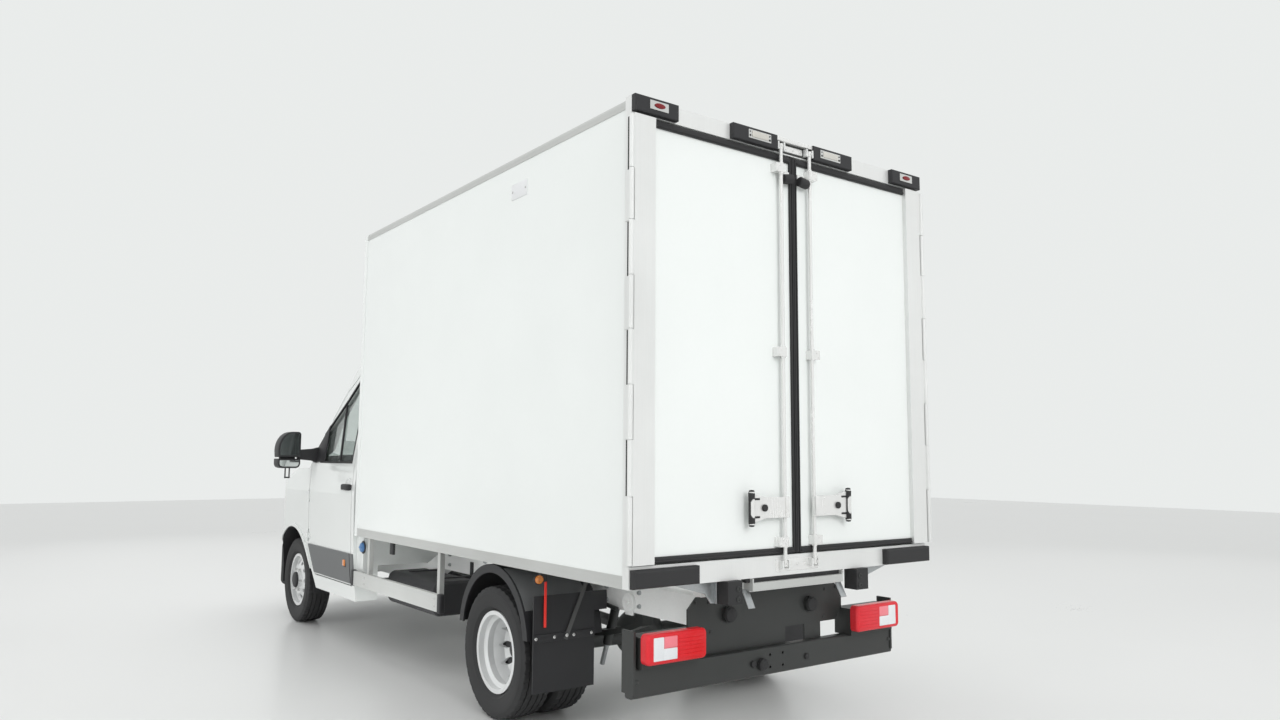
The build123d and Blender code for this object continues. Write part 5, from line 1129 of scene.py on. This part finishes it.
def dressLoadSpace():
    g = loadSpace
    (rear, front), half, floor, ceiling = g["x"], g["half"], g["floor"], g["ceiling"]
    coat, rails, light, fans, cage = blanks(5)
    along, kickZ = (rear + 0.004, front - 0.001), (floor + 0.004, floor + g["kick"])
    softBox(coat, 1, along, about(0, half - 0.001), (floor - 0.001, floor + 0.004), 0.001, 1)
    for k in range(g["ribs"]):
        x = rear + 0.06 + (front - rear - 0.12) * k / (g["ribs"] - 1)
        softBox(coat, 1, about(x, 0.02), about(0, half - 0.03), (floor + 0.003, floor + 0.0055), 0.001, 1)
    for side in (1, -1):
        softBox(rails, side, along, (half + 0.001, half - 0.006), kickZ, 0.002, 1)
        for height in g["tracks"]:
            for rail in about(height, 0.024):
                softBox(rails, side, (rear + 0.1, front - 0.03), (half + 0.001, half - 0.012),
                    about(rail, 0.012), 0.003, 1)
            for k in range(g["slots"]):
                x = rear + 0.13 + (front - rear - 0.2) * k / (g["slots"] - 1)
                softBox(rails, side, about(x, 0.012), (half + 0.001, half - 0.008), about(height, 0.014),
                    0.001, 1)
    softBox(rails, 1, (front + 0.001, front - 0.006), about(0, half - 0.002), kickZ, 0.002, 1)
    for x in g["lampX"]:
        softBox(light, 1, about(x, 0.2), (-0.05, 0.05), (ceiling - 0.03, ceiling + 0.001), 0.012, 3)
    for reach in g["fanY"]:
        spot = Vector((g["fanX"], reach, ceiling - g["fanDrop"]))
        for k in range(g["blades"]):
            turn = 2 * pi * k / g["blades"]
            blade = [(r * cos(turn + a), r * sin(turn + a)) for r, a in g["blade"]]
            slab(fans, blade, spot + Vector((0, 0, 0.024)), (1, 0, 0), (0, 1, 0), 0.003)
        turned(fans, g["hub"], spot, upward, 20)
        fanCage(cage, spot, g["rings"], -0.002, 0.128, -0.003, 0.0022, 36)
    finishPiece("floorCoat", coat, "floorCoat")
    finishPiece("loadTracks", rails, "railAlu")
    finishPiece("loadLamps", light, "clearLens")
    finishPiece("evaporatorFans", fans, "blackPlastic")
    finishPiece("evaporatorCages", cage, "stainless")
    print("load space dressed")


dressLoadSpace()

# Cooling unit: coil behind the slots, tray, latches, louvres, seams, fan cages
coolingUnit = {
    "front": 0.902, "half": 0.800, "foot": 2.410, "head": 2.960, "coilY": (-0.559, 0.559),
    "coilZ": (2.501, 2.787), "fins": 110, "finHalf": 0.552, "finZ": (2.502, 2.786), "trayY": (-0.79, 0.79),
    "latchZ": (2.52, 2.86), "louvres": 8, "louvreZ": 2.56, "louvrePitch": 0.03, "fanY": (-0.36, 0.36),
    "rings": (0.05, 0.085, 0.12, 0.15),
    "fanLine": [(-0.004, 0.165), (0.004, 0.165), (0.008, 0.155), (0.002, 0.148), (-0.002, 0.1), (-0.002, 0)],
}


def dressCoolingUnit():
    g = coolingUnit
    front, half, foot, head = g["front"], g["half"], g["foot"], g["head"]
    coil, black, bright = blanks(3)
    softBox(coil, 1, (front - 0.0305, front - 0.026), g["coilY"], g["coilZ"], 0.001, 1)
    for k in range(g["fins"]):
        reach = g["finHalf"] * (2 * k / (g["fins"] - 1) - 1)
        softBox(coil, 1, (front - 0.027, front - 0.02), about(reach, 0.0012), g["finZ"], 0.0005, 1)
    softBox(black, 1, (front - 0.4, front - 0.02), g["trayY"], (foot - 0.012, foot + 0.002), 0.006)
    for side in (1, -1):
        for height in g["latchZ"]:
            softBox(black, side, (front - 0.19, front - 0.13), (half - 0.002, half + 0.007),
                about(height, 0.02), 0.004)
        for row in range(g["louvres"]):
            low = g["louvreZ"] + row * g["louvrePitch"]
            softBox(black, side, (front - 0.36, front - 0.22), (half - 0.002, half + 0.004),
                (low, low + 0.012))
        seam = (front - 0.102, front - 0.096)
        softBox(bright, side, seam, (half - 0.003, half + 0.001), (foot + 0.02, head - 0.05), 0.0008, 1)
    for reach in g["fanY"]:
        middle = Vector((front - 0.21, reach, head))
        turned(black, g["fanLine"], middle, upward, 44)
        fanCage(bright, middle, g["rings"], 0.006, 0.155, 0.008, 0.0025, 40)
    finishPiece("condenserCoil", coil, "castIron")
    finishPiece("coolingTrim", black, "blackPlastic")
    finishPiece("coolingCages", bright, "galvanised")
    print("cooling unit dressed")


dressCoolingUnit()

# Running gear: spring clamps, dampers, frame bolts and bosses, brake lines
runningGear = {
    "clampX": 0.045, "clampY": (0.392, 0.468), "clampZ": (0.285, 0.462),
    "clampPlate": ((-1.68, -1.56), (0.383, 0.477), (0.282, 0.296)),
    "damper": ((-1.80, 0.36, 0.36), (-1.93, 0.37, 0.66)),
    "damperRod": ((-1.80, 0.36, 0.36), (-1.745, 0.355, 0.235)),
    "boltX": (-2.25, -1.95, -1.3, -0.85, -0.5, 0.05), "boltY": 0.465, "boltZ": (0.63, 0.70),
    "boss": (-2.165, 0.466, 0.64), "bossPlate": ((-2.2, -2.13), (0.464, 0.476), (0.575, 0.6)),
    "brakeLine": ((-2.1, 0.505, 0.6), (-1.9, 0.5, 0.62), (-1.75, 0.49, 0.5)),
    "nutLine": [(0, 0.013), (0.012, 0.013), (0.012, 0)],
    "boltLine": [(0, 0.013), (0.007, 0.013), (0.009, 0.009), (0.016, 0.009), (0.016, 0)],
    "bossLine": [(-0.004, 0.05), (0.014, 0.05), (0.02, 0.044), (0.016, 0.03), (0.016, 0.012), (0.024, 0.01),
        (0.024, 0)],
}


def dressRunningGear():
    r = runningGear
    steel, black, pale = blanks(3)
    for side in (1, -1):
        for x in about(rearAxleX, r["clampX"]):
            for reach in r["clampY"]:
                low, high = ((x, side * reach, height) for height in r["clampZ"])
                rodLine(steel, [low, high], 0.0075, 10)
                turned(steel, r["nutLine"], high, upward, 6)
        softBox(black, side, *r["clampPlate"], 0.004)
        rodLine(black, onSide(side, *r["damper"]), 0.026, 18)
        rodLine(steel, onSide(side, *r["damperRod"]), 0.014, 14)
        for x in r["boltX"]:
            for height in r["boltZ"]:
                turned(steel, r["boltLine"], (x, side * r["boltY"], height), (0, side, 0), 6)
        turned(pale, r["bossLine"], *onSide(side, r["boss"]), (0, side, 0), 32)
        softBox(pale, side, *r["bossPlate"])
        rodLine(black, onSide(side, *r["brakeLine"]), 0.012, 12)
    finishPiece("springBolts", steel, "galvanised")
    finishPiece("frameBosses", pale, "frameGrey")
    finishPiece("dampers", black, "blackSteel")
    print("running gear dressed")


dressRunningGear()

# Floor, light and camera
studio = {
    "floor": (0.645, 0.652, 0.645), "gloss": 0.26, "wall": (0.82, 0.84, 0.83), "light": 0.56, "size": 26,
    "sky": 1.15, "skySpread": 110, "beam": 70,
}


def setStage():
    mesh = bpy.data.meshes.new("studioFloor")
    bm = bmesh.new()
    bmesh.ops.create_grid(bm, x_segments=4, y_segments=4, size=studio["size"])
    bm.to_mesh(mesh)
    bm.free()
    floor = bpy.data.objects.new("studioFloor", mesh)
    bpy.context.scene.collection.objects.link(floor)
    look = makeFinish("floorFinish", studio["floor"], 0.02, (studio["gloss"], studio["gloss"] + 0.1), 40,
        0.00005, {"cloud": 0.4})
    floor.data.materials.append(look)
    world = bpy.data.worlds.new("studioWorld")
    bpy.context.scene.world = world
    world.use_nodes = True
    tree = world.node_tree
    tree.nodes.clear()
    seen = addNode(tree, "Background", {"Color": studio["wall"] + (1,)}).outputs["Background"]
    lit = addNode(tree, "Background",
        {"Color": (1, 1, 1, 1), "Strength": studio["light"]}).outputs["Background"]
    ray = addNode(tree, "LightPath", {}).outputs
    shown = addNode(tree, "Math", {0: ray["Is Camera Ray"], 1: ray["Is Glossy Ray"]},
        "MAXIMUM").outputs["Value"]
    shown = addNode(tree, "Math", {0: shown, 1: ray["Is Transmission Ray"]}, "MAXIMUM").outputs["Value"]
    mix = addNode(tree, "MixShader", {"Fac": shown, 1: lit, 2: seen})
    addNode(tree, "OutputWorld", {"Surface": mix.outputs["Shader"]})


# Each lamp: place, where it points, size, watts
lamps = {
    "rearLamp": ((-12.5, 1.3, 5.2), (-2.9, 0, 1.6), 7.0, 100),
    "leftLamp": ((-1.5, 12.5, 5.0), (-1.0, 1.0, 1.6), 8.0, 92),
    "frontLamp": ((12.5, 1.0, 5.0), (2.6, 0, 1.2), 7.0, 78),
    "rightLamp": ((-0.5, -12.5, 5.0), (-0.5, -1.0, 1.6), 8.0, 76),
    "underLeftLamp": ((-0.3, 0.95, 0.03), (-0.3, 0.62, 1), 1.3, 9),
    "underRightLamp": ((-0.3, -0.95, 0.03), (-0.3, -0.62, 1), 1.3, 9),
    "underRearLamp": ((-2.4, 0.0, 0.03), (-2.42, 0, 1), 0.9, 4),
}


def setLamps():
    sky = bpy.data.lights.new("skyLamp", "SUN")
    sky.energy = studio["sky"]
    sky.angle = radians(studio["skySpread"])
    overhead = bpy.data.objects.new("skyLamp", sky)
    overhead.location = (0, 0, 9)
    overhead.visible_glossy = False
    bpy.context.scene.collection.objects.link(overhead)
    for name, (place, target, size, watts) in lamps.items():
        light = bpy.data.lights.new(name, "AREA")
        light.shape = "DISK"
        light.size = size
        light.spread = radians(studio["beam"]) if size > 2 else pi
        light.energy = watts
        lamp = bpy.data.objects.new(name, light)
        lamp.location = place
        lamp.rotation_euler = (Vector(target) - Vector(place)).to_track_quat("-Z", "Y").to_euler()
        lamp.visible_glossy = False
        lamp.visible_camera = False
        bpy.context.scene.collection.objects.link(lamp)


# The photograph's camera, solved for a 1280 by 720 picture
photoCamera = {"place": (-6.2207, 3.4288, 1.4063), "yaw": -36.6656, "pitch": 6.0762, "roll": 0.3081,
    "focal": 920.61}


def setCamera():
    yaw, pitch, roll = (radians(photoCamera[key]) for key in ("yaw", "pitch", "roll"))
    ahead = Vector((cos(pitch) * cos(yaw), cos(pitch) * sin(yaw), sin(pitch)))
    right = Vector((sin(yaw), -cos(yaw), 0))
    up = right.cross(ahead)
    rightTurned = right * cos(roll) + up * sin(roll)
    upTurned = up * cos(roll) - right * sin(roll)
    lens = bpy.data.cameras.new("photoCamera")
    lens.sensor_width = 36
    lens.lens = photoCamera["focal"] * 36 / 1280
    camera = bpy.data.objects.new("photoCamera", lens)
    turn = Matrix((rightTurned, upTurned, -ahead)).transposed().to_4x4()
    camera.matrix_world = Matrix.Translation(photoCamera["place"]) @ turn
    bpy.context.scene.collection.objects.link(camera)
    bpy.context.scene.camera = camera


setStage()
setLamps()
setCamera()
bpy.context.scene.view_settings.view_transform = "Standard"
print("stage, lamps and camera set")
